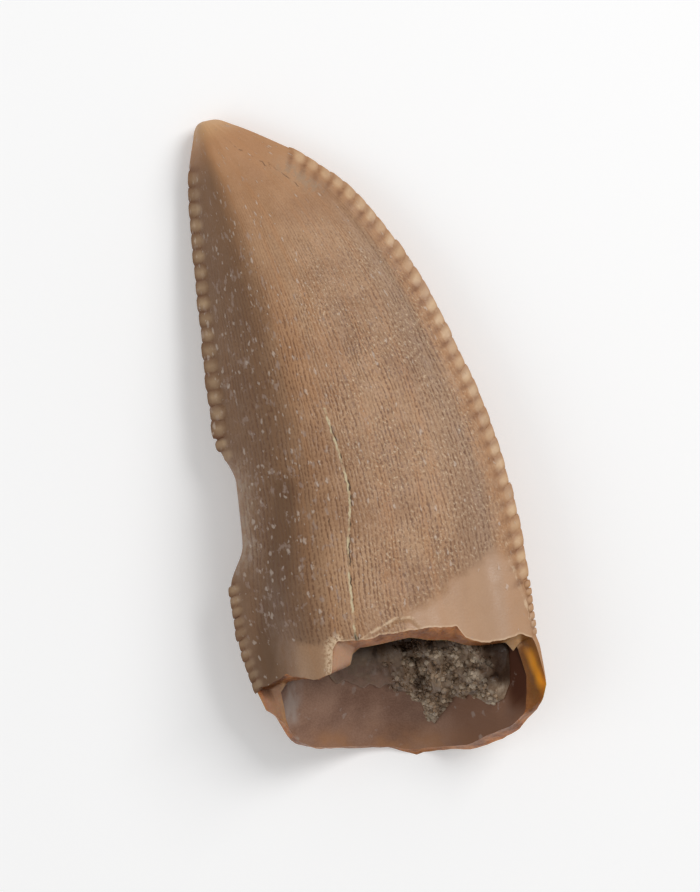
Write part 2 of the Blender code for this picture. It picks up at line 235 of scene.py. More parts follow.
@dataclass(frozen=True)
class CrownForm:
    """The crown's form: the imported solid's own driving sizes, with the edges' and the rim's lines."""

    thickness: float = 6.6
    thickening: float = 0.55
    upper_share: float = 0.56
    tip_lift: float = 0.42
    tip_lift_end: float = 0.16
    rest_flat: float = 0.14
    edge_twist: float = 0.40
    ridge_at: float = 0.34
    distal_fullness: float = 1.08
    mesial_fullness: float = 1.00
    lower_fullness: float = 0.92
    chip_fullness: float = 0.55
    flute_depth: float = 0.20
    flute_at: float = 0.86
    flute_width: float = 0.05
    flute_starts: tuple[float, float] = (0.10, 0.30)
    flute_ends: tuple[float, float] = (0.95, 0.70)
    fold_depth: float = 0.55
    fold_at: float = 0.115
    fold_width: float = 0.055
    fold_starts: tuple[float, float] = (0.66, 0.86)
    edge_inset: float = 0.07
    serrated_from: tuple[float, float] = (9.80, 10.40)
    serrated_to: tuple[float, float] = (-20.0, -7.10)
    serration_fades: float = 0.40
    chip_depth: float = 0.50
    chip_top: tuple[float, float] = (-0.20, -1.70)
    chip_foot: tuple[float, float] = (-5.50, -3.90)
    cavity_end: float = 0.56
    cavity_dome: float = 0.12
    cavity_flare_end: float = 0.80
    cavity_sides: tuple[float, float] = (0.085, 0.935)
    cavity_sides_deep: tuple[float, float] = (0.30, 0.80)
    cavity_rounding: float = 0.55
    cavity_middle: float = 0.50
    upper_wall: float = 0.55
    upper_wall_most: float = 0.30
    lower_wall: float = 1.35
    lower_wall_most: float = 0.35
    lower_wall_rim: float = 0.22
    lower_wall_thins: tuple[float, float] = (-8.60, -11.30)
    distal_wall_rim: float = 0.045
    length: float = 24.0
    width: float = 10.6
    distal_edge: Points = field(default_factory=lambda: [
        (-5.79, 11.42), (-5.98, 11.30), (-6.09, 11.08), (-6.14, 10.72), (-6.22, 10.20), (-6.31, 9.40),
        (-6.24, 8.00), (-6.06, 6.00), (-5.82, 3.90), (-5.50, 1.30), (-5.19, -1.20), (-4.92, -3.60),
        (-4.77, -5.80), (-4.46, -7.50), (-3.92, -9.10), (-3.14, -11.80),
    ])
    mesial_edge: Points = field(default_factory=lambda: [
        (-5.79, 11.42), (-5.32, 11.48), (-4.69, 11.29), (-3.29, 10.72), (-1.89, 10.04), (-0.74, 9.24),
        (0.71, 7.70), (2.11, 5.68), (3.31, 3.40), (4.41, 0.95), (5.31, -1.80), (5.88, -4.50), (6.26, -7.00),
        (6.58, -8.90), (6.56, -11.80),
    ])
    upper_rim: Points = field(default_factory=lambda: [
        (0.00, -9.10), (0.06, -8.90), (0.125, -8.52), (0.17, -8.60), (0.23, -8.60), (0.28, -8.37),
        (0.31, -7.55), (0.33, -7.28), (0.40, -7.22), (0.51, -6.97), (0.65, -6.80), (0.735, -6.75),
        (0.757, -7.15), (0.785, -7.30), (0.85, -7.33), (0.89, -7.28), (0.945, -7.10), (0.985, -7.20),
        (1.00, -8.90),
    ])
    lower_rim: Points = field(default_factory=lambda: [
        (0.00, -9.10), (0.013, -9.86), (0.037, -10.00), (0.051, -10.46), (0.066, -10.94), (0.09, -11.16),
        (0.175, -11.34), (0.32, -11.34), (0.436, -11.32), (0.48, -11.44), (0.52, -11.60), (0.555, -11.49),
        (0.61, -11.41), (0.735, -11.37), (0.788, -11.19), (0.845, -10.92), (0.905, -10.52), (0.937, -10.12),
        (0.967, -9.74), (0.985, -9.42), (1.00, -8.90),
    ])
    upper_mouth: Points = field(default_factory=lambda: [
        (0.00, -9.20), (0.035, -8.85), (0.10, -8.68), (0.17, -8.68), (0.21, -8.50), (0.31, -8.12),
        (0.335, -7.72), (0.37, -7.50), (0.50, -7.29), (0.57, -7.16), (0.64, -7.24), (0.72, -7.27),
        (0.795, -7.48), (0.84, -7.50), (0.918, -7.42), (0.945, -7.40), (0.966, -7.72), (0.984, -7.50),
        (1.00, -8.60),
    ])
    lower_mouth: Points = field(default_factory=lambda: [
        (0.00, -9.20), (0.012, -10.15), (0.03, -10.64), (0.06, -10.98), (0.12, -11.22), (0.28, -11.25),
        (0.45, -11.27), (0.51, -11.41), (0.62, -11.29), (0.76, -11.17), (0.82, -10.84), (0.93, -10.40),
        (0.985, -9.90), (1.00, -8.60),
    ])

    @cached_property
    def edge_lines(self) -> dict[Edge, tuple[np.ndarray, np.ndarray]]:
        """Each cutting edge's smooth line, and the share of its length at each of its points."""
        return {Edge.DISTAL: smooth_line(self.distal_edge), Edge.MESIAL: smooth_line(self.mesial_edge)}

    def serration_inset(self, edge: Edge, y: np.ndarray) -> np.ndarray:
        """How far the crown's edge lies behind its denticles' ends at height y, and 0 where it has none."""
        which = 0 if edge is Edge.DISTAL else 1
        begins, ends, fades = self.serrated_from[which], self.serrated_to[which], self.serration_fades
        return self.edge_inset * eased(y, begins, begins - fades) * eased(y, ends - fades, ends)

    def chip_share(self, y: np.ndarray) -> np.ndarray:
        """How much of the chip's depth is missing from the distal edge at height y."""
        return eased(y, *self.chip_top) * eased(y, *self.chip_foot)

    def edge_point(self, edge: Edge, t: np.ndarray, inset: float | None = None,
                   chipped: bool = True) -> tuple[np.ndarray, np.ndarray]:
        """A point of a cutting edge, moved into the crown.

        Args:
            edge: Which cutting edge.
            t: Shares of its length.
            inset: How far the point is moved in, or None for the crown's own edge.
            chipped: Whether the chip is missing from the distal edge.

        Returns:
            The x and the y of each point.
        """
        line, share = self.edge_lines[edge]
        x, y = np.interp(t, share, line[:, 0]), np.interp(t, share, line[:, 1])
        inset = self.serration_inset(edge, y) if inset is None else inset
        tangent = np.gradient(line, share, axis=0)
        tx, ty = np.interp(t, share, tangent[:, 0]), np.interp(t, share, tangent[:, 1])
        inward = inset * edge.value / np.hypot(tx, ty)
        x, y = x + ty * inward, y - tx * inward
        if edge is Edge.DISTAL and chipped:
            x = x + self.chip_depth * self.chip_share(y)
        return x, y

    def cheek(self, u: np.ndarray, peak: float, distal_power: np.ndarray | float,
              mesial_power: float) -> np.ndarray:
        """A cheek's bulge across the crown: 0 at both edges and 1 at the peak."""
        distal = np.sin(0.5 * math.pi * np.clip(u / peak, 0.0, 1.0)) ** distal_power
        mesial = np.sin(0.5 * math.pi * np.clip((1.0 - u) / (1.0 - peak), 0.0, 1.0)) ** mesial_power
        return np.where(u < peak, distal, mesial)

    def outside(self, t: np.ndarray, u: np.ndarray, upper: np.ndarray | bool) -> np.ndarray:
        """Points of the crown's outside.

        Args:
            t: Shares of its length.
            u: Shares across it.
            upper: Whether each point is on the upper cheek.

        Returns:
            The points, as an (N, 3) array.
        """
        (ax, ay), (bx, by) = self.edge_point(Edge.DISTAL, t), self.edge_point(Edge.MESIAL, t)
        x, y = ax + (bx - ax) * u, ay + (by - ay) * u
        thickness = self.thickness * t**self.thickening
        lower = (1.0 - self.upper_share) * thickness
        tip = 1.0 - eased(t, 0.0, self.tip_lift_end)
        middle = lower + self.tip_lift * tip - self.rest_flat * (1.0 - tip)
        middle = middle + self.edge_twist * t * (2.0 * u - 1.0)
        chipping = (self.chip_fullness - self.distal_fullness) * self.chip_share(ay)
        cheek = self.cheek(u, self.ridge_at, self.distal_fullness + chipping, self.mesial_fullness)
        bulge = self.upper_share * thickness * cheek
        flute = dip(u, self.flute_at, self.flute_width)
        flute = flute * eased(t, *self.flute_starts) * eased(t, *self.flute_ends)
        fold = dip(u, self.fold_at, self.fold_width) * eased(t, *self.fold_starts)
        top = middle + bulge - self.flute_depth * flute - self.fold_depth * fold
        under = lower * self.cheek(u, 0.5, self.lower_fullness, self.lower_fullness)
        return np.stack([x, y, np.where(upper, top, np.maximum(0.0, middle - under))], axis=-1)

    def inside(self, t: np.ndarray, q: np.ndarray, upper: np.ndarray | bool) -> np.ndarray:
        """Points of the pulp cavity's wall.

        Args:
            t: Shares of the crown's length.
            q: Shares across the cavity.
            upper: Whether each point is on the cavity's roof.

        Returns:
            The points, as an (N, 3) array.
        """
        y = self.outside(t, np.full_like(t, 0.5), True)[:, 1]
        out, thin = eased(t, self.cavity_end, self.cavity_flare_end), eased(y, *self.lower_wall_thins)
        distal = self.cavity_sides_deep[0] + (self.cavity_sides[0] - self.cavity_sides_deep[0]) * out
        distal = distal - (self.cavity_sides[0] - self.distal_wall_rim) * thin
        mesial = self.cavity_sides_deep[1] + (self.cavity_sides[1] - self.cavity_sides_deep[1]) * out
        open_share = 1.0 - np.clip((t - self.cavity_end) / self.cavity_dome, 0.0, 1.0)
        dome = np.sqrt(np.clip(1.0 - open_share**2, 0.0, 1.0))
        centre = 0.5 * (distal + mesial)
        u = centre + (distal + (mesial - distal) * q - centre) * dome
        top, bottom = self.outside(t, u, True), self.outside(t, u, False)
        thick = top[:, 2] - bottom[:, 2]
        middle = bottom[:, 2] + self.cavity_middle * thick
        roof = top[:, 2] - np.minimum(self.upper_wall, self.upper_wall_most * thick)
        floor_wall = self.lower_wall + (self.lower_wall_rim - self.lower_wall) * thin
        floor = bottom[:, 2] + np.minimum(floor_wall, self.lower_wall_most * thick)
        round_off = np.sin(math.pi * np.clip(q, 0.0, 1.0)) ** self.cavity_rounding * dome
        top[:, 2] = middle + (np.where(upper, roof, floor) - middle) * round_off
        return top

    def share_at(self, surface: Callable[..., np.ndarray], across: np.ndarray, upper: np.ndarray,
                 y: np.ndarray) -> np.ndarray:
        """The share of the crown's length where each column of a surface reaches height y.

        Args:
            surface: The method outside or inside.
            across: Each column's share across the crown or the cavity.
            upper: Whether each column is on the upper side.
            y: The height that each column is to reach.

        Returns:
            One share for each column.
        """
        t = np.linspace(self.cavity_end, 1.0, 300)
        found = []
        for share, side, height in zip(across, upper, y):
            column = surface(t, np.full_like(t, share), np.full_like(t, side, bool))
            found.append(np.interp(-height, -column[:, 1], t))
        return np.array(found)

    def place_of(self, x: np.ndarray, y: np.ndarray) -> tuple[np.ndarray, np.ndarray]:
        """The shares of the whole, unchipped crown's length and across it at points seen from above.

        The length's share is found by halving the range that it lies in.

        Args:
            x: The points' x.
            y: The points' y.

        Returns:
            The share of the length and the share across, for each point.
        """
        low, high = np.full(x.shape, 1e-4), np.full(x.shape, 1.0)
        for _ in range(22):
            t = 0.5 * (low + high)
            ax, ay = self.edge_point(Edge.DISTAL, t, chipped=False)
            bx, by = self.edge_point(Edge.MESIAL, t)
            past = (bx - ax) * (y - ay) - (by - ay) * (x - ax) < 0.0
            low, high = np.where(past, t, low), np.where(past, high, t)
        ax, ay = self.edge_point(Edge.DISTAL, t, chipped=False)
        bx, by = self.edge_point(Edge.MESIAL, t)
        reach = (bx - ax) ** 2 + (by - ay) ** 2
        return t, np.clip(((x - ax) * (bx - ax) + (y - ay) * (by - ay)) / reach, -0.1, 1.1)


FORM = CrownForm()


def new_object(name: str, points: np.ndarray, faces: list,
               slots: list[int] | None = None) -> bpy.types.Object:
    """A mesh object at the origin, its points given in millimetres.

    Args:
        name: The object's name.
        points: Its points, as an (N, 3) array.
        faces: The point numbers of each face.
        slots: The material slot of each face, or None for the first.

    Returns:
        The new object, in the scene's collection.
    """
    mesh = bpy.data.meshes.new(name)
    mesh.from_pydata((points * MM).tolist(), [], faces)
    if slots is not None:
        mesh.polygons.foreach_set("material_index", slots)
    mesh.validate()
    mesh.update()
    made = bpy.data.objects.new(name, mesh)
    bpy.context.scene.collection.objects.link(made)
    return made


def as_plain_mesh(target: bpy.types.Object) -> None:
    """Replaces an object's mesh with what its modifiers make of it, and removes them."""
    graph = bpy.context.evaluated_depsgraph_get()
    graph.update()
    made = bpy.data.meshes.new_from_object(target.evaluated_get(graph), depsgraph=graph)
    target.modifiers.clear()
    target.data = made


def read_points(mesh: bpy.types.Mesh) -> np.ndarray:
    """A mesh's points, in millimetres, as an (N, 3) array."""
    points = np.empty(len(mesh.vertices) * 3, np.float32)
    mesh.vertices.foreach_get("co", points)
    return points.reshape(-1, 3).astype(float) / MM


def write_attribute(mesh: bpy.types.Mesh, name: str, values: np.ndarray) -> None:
    """Stores a number, or a vector where values has three columns, at each point of a mesh."""
    if values.ndim == 1:
        mesh.attributes.new(name, "FLOAT", "POINT").data.foreach_set("value", values.astype(np.float32))
    else:
        flat = values.astype(np.float32).ravel()
        mesh.attributes.new(name, "FLOAT_VECTOR", "POINT").data.foreach_set("vector", flat)


def identified(sockets: Iterable[Socket], identifier: str) -> Socket:
    """The socket that has an identifier, for nodes whose sockets share a name."""
    return next(socket for socket in sockets if socket.identifier == identifier)


class Tree:
    """Adds nodes to a node tree, each with its inputs given as values or as other nodes' outputs."""

    def __init__(self, tree: bpy.types.NodeTree) -> None:
        """Keeps the tree and empties it."""
        self.tree = tree
        tree.nodes.clear()

    def feed(self, socket: Socket, value: Given) -> None:
        """Sets an input to a value, or links it to the output that feeds it."""
        if isinstance(value, Socket):
            self.tree.links.new(value, socket)
        else:
            socket.default_value = value

    def feed_all(self, node: bpy.types.Node, inputs: dict) -> None:
        """Sets or links several inputs of a node, given by name or number."""
        for name, value in inputs.items():
            self.feed(node.inputs[name], value)

    def add(self, kind: str, inputs: dict | None = None, **settings: object) -> bpy.types.Node:
        """Adds a node.

        Args:
            kind: The node's type name.
            inputs: Input names or numbers, each with a value or the output socket that feeds it.
            settings: The node's own settings.

        Returns:
            The new node.
        """
        node = self.tree.nodes.new(kind)
        for name, value in settings.items():
            setattr(node, name, value)
        self.feed_all(node, inputs or {})
        return node

    def math(self, operation: str, first: Given, second: Given = 0.0, third: Given = 0.0,
             clamp: bool = False) -> Socket:
        """The result of a Math node on values or sockets."""
        given = {0: first, 1: second, 2: third}
        return self.add("ShaderNodeMath", given, operation=operation, use_clamp=clamp).outputs[0]

    def times(self, first: Given, second: Given) -> Socket:
        """The product of two values or sockets."""
        return self.math("MULTIPLY", first, second)

    def plus(self, first: Given, share: Given, second: Given, clamp: bool = False) -> Socket:
        """The sum of share times the first and the whole second."""
        return self.math("MULTIPLY_ADD", first, share, second, clamp)

    def centred(self, value: Given) -> Socket:
        """A noise value moved from 0 to 1 into the range -0.5 to 0.5."""
        return self.math("SUBTRACT", value, 0.5)

    def span(self, value: Given, start: float, end: float, low: float = 0.0, high: float = 1.0) -> Socket:
        """A value carried smoothly from the range start to end into the range low to high."""
        given = {"Value": value, "From Min": start, "From Max": end, "To Min": low, "To Max": high}
        return self.add("ShaderNodeMapRange", given, interpolation_type="SMOOTHSTEP").outputs["Result"]

    def mix(self, share: Given, first: Given, second: Given) -> Socket:
        """Two colours mixed: the first at share 0 and the second at share 1."""
        node = self.add("ShaderNodeMix", data_type="RGBA", clamp_factor=True)
        for name, value in (("Factor_Float", share), ("A_Color", first), ("B_Color", second)):
            self.feed(identified(node.inputs, name), value)
        return identified(node.outputs, "Result_Color")

    def attribute(self, name: str, output: str = "Fac") -> Socket:
        """What a mesh attribute holds at each point."""
        return self.add("ShaderNodeAttribute", attribute_name=name).outputs[output]

    def noise(self, vector: Given, scale: float, detail: float = 2.0, roughness: float = 0.5) -> Socket:
        """Cloudy noise between 0 and 1, of scale patches a unit."""
        given = {"Vector": vector, "Scale": scale, "Detail": detail, "Roughness": roughness}
        return self.add("ShaderNodeTexNoise", given).outputs["Fac"]

    def stretched(self, vector: Given, x: float, y: float, z: float = 1.0) -> Socket:
        """Coordinates multiplied by x, y and z."""
        given = {0: vector, 1: (x, y, z)}
        return self.add("ShaderNodeVectorMath", given, operation="MULTIPLY").outputs[0]

    def layered(self, colour: Socket, layers: Iterable[tuple[Given, Given]]) -> Socket:
        """A colour with others laid over it in turn, each given by its mask and itself."""
        for share, tint in layers:
            colour = self.mix(share, colour, tint)
        return colour

    def bump(self, height: Socket, strength: float, distance: float) -> Socket:
        """The normals of a surface with a fine relief, distance metres deep."""
        given = {"Height": height, "Strength": strength, "Distance": distance}
        return self.add("ShaderNodeBump", given).outputs[0]


def new_group(name: str, inputs: list[tuple], outputs: list[tuple[str, str]],
              kind: str = "ShaderNodeTree") -> tuple:
    """A node group with named sockets.

    Args:
        name: The group's name.
        inputs: Each input's name, the end of its socket type's name and, where it has one, its default.
        outputs: Each output's name and the end of its socket type's name.
        kind: The group's own type.

    Returns:
        The group, its Tree, its inputs as they are read inside it, and its output node.
    """
    group = bpy.data.node_groups.new(name, kind)
    for label, ending, *default in inputs:
        socket = group.interface.new_socket(label, in_out="INPUT", socket_type="NodeSocket" + ending)
        if default:
            socket.default_value = default[0]
    for label, ending in outputs:
        group.interface.new_socket(label, in_out="OUTPUT", socket_type="NodeSocket" + ending)
    tree = Tree(group)
    return group, tree, tree.add("NodeGroupInput").outputs, tree.add("NodeGroupOutput")


class SharedEffects:
    """Shader node groups that more than one of the tooth's materials uses."""

    def __init__(self) -> None:
        """Builds the groups once."""
        self.mottle = self.build_mottle()
        self.specks = self.build_specks()

    def mottled(self, tree: Tree, solid: Socket, colours: tuple[tuple, tuple],
                scales: tuple[float, float]) -> bpy.types.Node:
        """Adds the mottle to a material.

        Args:
            tree: The material's tree.
            solid: Object coordinates in millimetres.
            colours: The pale and the dark colour.
            scales: How many patches and how many grains there are in a millimetre.

        Returns:
            The group's node, with the outputs Color and Height.
        """
        labels = ("Vector", "Pale", "Dark", "Patch Scale", "Grain Scale")
        given = dict(zip(labels, (solid, *colours, *scales)))
        return tree.add("ShaderNodeGroup", given, node_tree=self.mottle)

    def specked(self, tree: Tree, vector: Socket, amount: Given, scale: float) -> tuple[Socket, Socket]:
        """Adds the specks to a material.

        Args:
            tree: The material's tree.
            vector: Where the specks are read.
            amount: How many there are, 0 to 1.
            scale: How many fit side by side in a unit.

        Returns:
            The masks of the soft clouds and of the sharp dots.
        """
        given = {"Vector": vector, "Amount": amount, "Scale": scale}
        outputs = tree.add("ShaderNodeGroup", given, node_tree=self.specks).outputs
        return outputs["Cloud"], outputs["Dot"]

    def build_mottle(self) -> bpy.types.NodeTree:
        """Builds a soft, cloudy change between two colours, with a fine grain."""
        group, tree, given, out = new_group("mineral_mottle", [
            ("Vector", "Vector", (0.0, 0.0, 0.0)),
            ("Pale", "Color", (1.0, 1.0, 1.0, 1.0)),
            ("Dark", "Color", (0.0, 0.0, 0.0, 1.0)),
            ("Patch Scale", "Float", 0.4),
            ("Grain Scale", "Float", 12.0),
        ], [("Color", "Color"), ("Height", "Float")])
        clouds = tree.noise(given["Vector"], given["Patch Scale"], 4.0, 0.55)
        grain = tree.noise(given["Vector"], given["Grain Scale"], 3.0, 0.6)
        amount = tree.math("ADD", tree.span(clouds, 0.30, 0.70, 0.0, 0.8),
                           tree.span(grain, 0.35, 0.65, -0.10, 0.25), clamp=True)
        tree.feed_all(out, {"Color": tree.mix(amount, given["Pale"], given["Dark"]), "Height": grain})
        return group

    def build_specks(self) -> bpy.types.NodeTree:
        """Builds pale mineral specks, small blobs scattered in loose drifts."""
        group, tree, given, out = new_group("pale_specks", [
            ("Vector", "Vector", (0.0, 0.0, 0.0)),
            ("Scale", "Float", 3.3),
            ("Amount", "Float", 0.5),
        ], [("Cloud", "Float"), ("Dot", "Float")])
        vector, scale, amount = given["Vector"], given["Scale"], given["Amount"]
        blobs = tree.noise(vector, tree.times(scale, 0.60), 4.0, 0.62)
        over = tree.math("SUBTRACT", blobs, tree.plus(amount, -0.11, 0.67))
        stir = tree.add("ShaderNodeTexNoise", {"Vector": vector, "Scale": 9.0, "Detail": 2.0})
        bend = tree.add("ShaderNodeVectorMath", {0: stir.outputs["Color"], 1: (0.5, 0.5, 0.5)},
                        operation="SUBTRACT")
        stirred = tree.add("ShaderNodeVectorMath", {0: bend.outputs[0], 1: (0.16, 0.16, 0.16), 2: vector},
                           operation="MULTIPLY_ADD")
        cells = tree.add("ShaderNodeTexVoronoi", {"Vector": stirred.outputs[0], "Scale": scale})
        chance = tree.add("ShaderNodeSeparateColor", {0: cells.outputs["Color"]}).outputs
        radius = tree.plus(tree.math("POWER", chance["Green"], 2.5), 0.26, 0.13)
        size = tree.math("DIVIDE", cells.outputs["Distance"], radius)
        drifts = tree.span(tree.noise(vector, 0.55, 2.0), 0.38, 0.62, 0.55, 1.25)
        chosen = tree.span(tree.plus(tree.times(amount, drifts), 0.75, chance["Red"]), 0.99, 1.01)
        dot = tree.times(tree.span(size, 1.25, 0.60), chosen)
        tree.feed_all(out, {"Cloud": tree.span(over, 0.0, 0.09), "Dot": dot})
        return group


def new_material(name: str) -> tuple[bpy.types.Material, Tree, bpy.types.Node]:
    """A material with an empty tree but for its Principled shader and its output."""
    material = bpy.data.materials.new(name)
    material.use_nodes = True
    tree = Tree(material.node_tree)
    shader = tree.add("ShaderNodeBsdfPrincipled")
    tree.add("ShaderNodeOutputMaterial", {"Surface": shader.outputs[0]})
    return material, tree, shader


def object_millimetres(tree: Tree) -> Socket:
    """Object coordinates in millimetres."""
    return tree.stretched(tree.add("ShaderNodeTexCoord").outputs["Object"], 1000.0, 1000.0, 1000.0)


class Finish(ABC):
    """A procedural material for one of the tooth's surfaces."""

    NAME: str

    @abstractmethod
    def inputs(self, tree: Tree, effects: SharedEffects, solid: Socket) -> dict[str, Given]:
        """What feeds the material's shader.

        Args:
            tree: The material's tree.
            effects: The shared node groups.
            solid: Object coordinates in millimetres.

        Returns:
            The shader's input names, each with a value or the output socket that feeds it.
        """

    def build(self, effects: SharedEffects) -> bpy.types.Material:
        """Builds the material.

        Args:
            effects: The shared node groups.

        Returns:
            The finished material.
        """
        material, tree, shader = new_material(self.NAME)
        tree.feed_all(shader, self.inputs(tree, effects, object_millimetres(tree)))
        return material


@dataclass(frozen=True)
class EnamelFinish(Finish):
    """Tan fossil enamel: lengthwise striae, fine wrinkles, pale specks and a mineral vein, with painted shade
    and painted highlights in its colour.
    """

    NAME = "enamel"
    pale: tuple = tone(182, 143, 108)
    dark: tuple = tone(150, 111, 79)
    tip: tuple = tone(178, 128, 86)
    nub: tuple = tone(206, 164, 118)
    greyed: tuple = tone(156, 130, 108)
    beside_edge: tuple = tone(176, 130, 90)
    # The distal flank's browner tone, with painted shade where the flank turns away from the light.
    flank_tone_and_shade: tuple = tone(102, 71, 43)
    spall: tuple = tone(156, 132, 108)
    worn: tuple = tone(186, 149, 119)
    # The striae's dark colour, also used for painted shade in the ripples' hollows.
    line: tuple = tone(100, 62, 36)
    # A painted highlight, laid on the ripples' crests.
    painted_glint: tuple = tone(224, 198, 168)
    cloud: tuple = tone(168, 148, 136)
    speck: tuple = tone(214, 198, 184)
    vein: tuple = tone(208, 194, 156)
    # Dark cracks, and the painted shadow beside the vein.
    crack_and_shadow: tuple = tone(52, 34, 24)
    # Pale crystals of the flake's border and pale lines, and a painted highlight along the rim.
    edge: tuple = tone(224, 196, 162)
    # The denticles' paler tips, with a painted highlight on their tops.
    bead_tip_and_highlight: tuple = tone(226, 194, 154)
    # Painted shade in the grooves between the denticles.
    groove_shade: tuple = tone(108, 62, 30)
    roughness: float = 0.46
    relief: float = 0.000030
    lines_a_millimetre: float = 6.6

    def inputs(self, tree: Tree, effects: SharedEffects, solid: Socket) -> dict[str, Given]:
        """What feeds the enamel's shader: its colours from the ground up, painted shade and highlights among
        them, its gloss and its relief.
        """
        place = tree.attribute("place", "Vector")
        parts = tree.add("ShaderNodeSeparateXYZ", {0: place}).outputs
        across, along = parts["X"], parts["Y"]
        mottle = effects.mottled(tree, solid, (self.pale, self.dark), (0.45, 14.0))
        streaks = tree.noise(tree.stretched(place, 2.4, 0.16), 1.0, 3.0)
        valley = tree.times(tree.span(across, 7.8, 9.0), tree.span(across, 10.0, 9.5))
        edge_clouds = tree.span(tree.noise(solid, 2.4, 3.0), 0.34, 0.62, 0.25, 0.85)
        chipping = tree.noise(tree.stretched(solid, 5.5, 3.0), 1.0, 4.0, 0.6)
        striae, striae_height = self.striae(tree, place, across)
        wrinkles, hollows = self.wrinkles(tree, place)
        wobble = tree.centred(tree.noise(solid, 3.0, 3.0))
        worn = tree.span(tree.plus(wobble, 0.7, tree.attribute("worn_inside")), -0.25, 0.22)
        speckled = tree.attribute("speckled")
        cloud, dot = effects.specked(tree, tree.stretched(place, 1.0, 0.60), speckled, 5.4)
        crystals = tree.span(tree.noise(solid, 9.0, 3.0, 0.6), 0.40, 0.56)
        vein, crack_and_shadow = self.vein_masks(tree, solid)
        broken_up = tree.span(tree.noise(solid, 5.0, 3.0), 0.34, 0.62, 0.55, 1.0)
        pale_side = tree.math("ABSOLUTE", tree.plus(wobble, 0.16, tree.attribute("pale_side")))
        pale_parts = tree.span(tree.noise(solid, 4.0, 3.0), 0.42, 0.58, 0.10, 1.0)
        pale_line = tree.times(tree.span(pale_side, 0.080, 0.015, 0.0, 0.60), pale_parts)
        # Painted highlight: a pale line along the enamel's edge at the rim.
        rim_highlight = tree.times(tree.span(tree.attribute("near_rim"), 0.08, 0.02, 0.0, 0.5), broken_up)
        bead_clouds = tree.span(tree.noise(solid, 2.2), 0.3, 0.7, 0.6, 1.0)
        colour = tree.layered(mottle.outputs["Color"], (
            (tree.span(along, 7.0, 0.8, 0.0, 0.75), self.tip),
            (tree.span(streaks, 0.46, 0.66, 0.0, 0.45), self.tip),
            (tree.times(valley, tree.span(along, 4.5, 8.0, 0.0, 0.45)), self.greyed),
            (tree.times(tree.span(across, 9.4, 10.0), edge_clouds), self.beside_edge),
            # Painted shade on the distal flank and in its fold, over the flank's browner tone.
            (tree.attribute("flank_tone_and_shade"), self.flank_tone_and_shade),
            (tree.span(along, 1.5, 0.3, 0.0, 0.7), self.nub),
            (tree.times(tree.attribute("spall"), tree.span(chipping, 0.44, 0.60, 0.10, 0.80)), self.spall),
            (striae, self.line),
            # Painted shade in the ripples' hollows, and a painted glint on their crests.
            (tree.times(hollows, 0.58), self.line),
            (tree.times(wrinkles, 0.60), self.painted_glint),
            (tree.times(worn, 0.60), self.worn),
            (tree.times(cloud, 0.48), self.cloud),
            (tree.times(dot, 0.44), self.speck),
            (tree.times(tree.times(tree.attribute("flake_border"), crystals), 0.85), self.edge),
            (vein, self.vein),
            # The pale lines, and the painted highlight along the rim.
            (tree.math("MAXIMUM", pale_line, rim_highlight), self.edge),
            # Dark cracks and notch, with the painted shadow beside the vein.
            (crack_and_shadow, self.crack_and_shadow),
            # Painted shade in the denticles' grooves.
            (tree.times(tree.attribute("groove_shade"), broken_up), self.groove_shade),
            # The denticles' paler tips, with a painted highlight on their tops.
            (tree.times(tree.attribute("bead_tip_and_highlight"), bead_clouds), self.bead_tip_and_highlight),
        ))
        gloss = (self.roughness - 0.08, self.roughness + 0.10)
        rough = tree.plus(cloud, 0.12, tree.span(tree.noise(solid, 2.5, 4.0), 0.3, 0.7, *gloss))
        height = tree.plus(wrinkles, 0.45, striae_height)
        for part, share in ((dot, 0.45), (mottle.outputs["Height"], 0.35),
                            (tree.math("MAXIMUM", vein, pale_line), 0.4), (crack_and_shadow, -1.5)):
            height = tree.plus(part, share, height)
        return {"Base Color": colour, "Roughness": tree.plus(worn, -0.10, rough), "Specular IOR Level": 0.36,
                "Normal": tree.bump(height, 0.9, self.relief)}

    def striae(self, tree: Tree, place: Socket, across: Socket) -> tuple[Socket, Socket]:
        """Builds the fine lines that run down the crown.

        Args:
            tree: The material's tree.
            place: The place on the crown, in millimetres across and along.
            across: Its first part.

        Returns:
            How dark the lines are, and their height.
        """
        drift, jitter, threads, grains = (
            tree.centred(tree.noise(tree.stretched(place, x, y), 1.0, detail, roughness))
            for x, y, detail, roughness in (
                (0.9, 0.30, 2.0, 0.5), (5.0, 2.2, 2.0, 0.5), (13.0, 1.3, 3.0, 0.6), (12.0, 7.5, 2.0, 0.6),
            )
        )
        wander = tree.plus(jitter, 0.10, tree.times(drift, 0.50))
        phase = tree.times(tree.math("ADD", across, wander), 2.0 * math.pi * self.lines_a_millimetre)
        wave = tree.times(tree.math("SINE", phase), 0.5)
        both = tree.plus(wave, 0.24, tree.plus(threads, 0.58, 0.55))
        both = tree.plus(grains, 0.80, both)
        strength = tree.attribute("striated")
        breaks = tree.span(tree.noise(tree.stretched(place, 1.4, 0.55), 1.0, 2.0), 0.32, 0.62, 0.45, 1.0)
        dark = tree.times(tree.span(both, 0.57, 0.37, 0.0, 0.72), strength)
        return tree.times(dark, breaks), tree.times(both, tree.times(strength, 0.75))

    def wrinkles(self, tree: Tree, place: Socket) -> tuple[Socket, Socket]:
        """Builds the sandy ripples of the crown's mesial half: their crests, where a glint is painted, and
        the hollows, where shade is painted.
        """
        turned = tree.add("ShaderNodeVectorRotate", {"Vector": place, "Angle": 0.42}, rotation_type="Z_AXIS")
        ripple = tree.noise(tree.stretched(turned.outputs[0], 12.5, 7.5), 1.0, 2.5, 0.6)
        patches = tree.span(tree.noise(place, 0.55, 2.0), 0.36, 0.62, 0.35, 1.0)
        where = tree.times(tree.attribute("wrinkled"), patches)
        return (tree.times(tree.span(ripple, 0.52, 0.68), where),
                tree.times(tree.span(ripple, 0.47, 0.33), where))

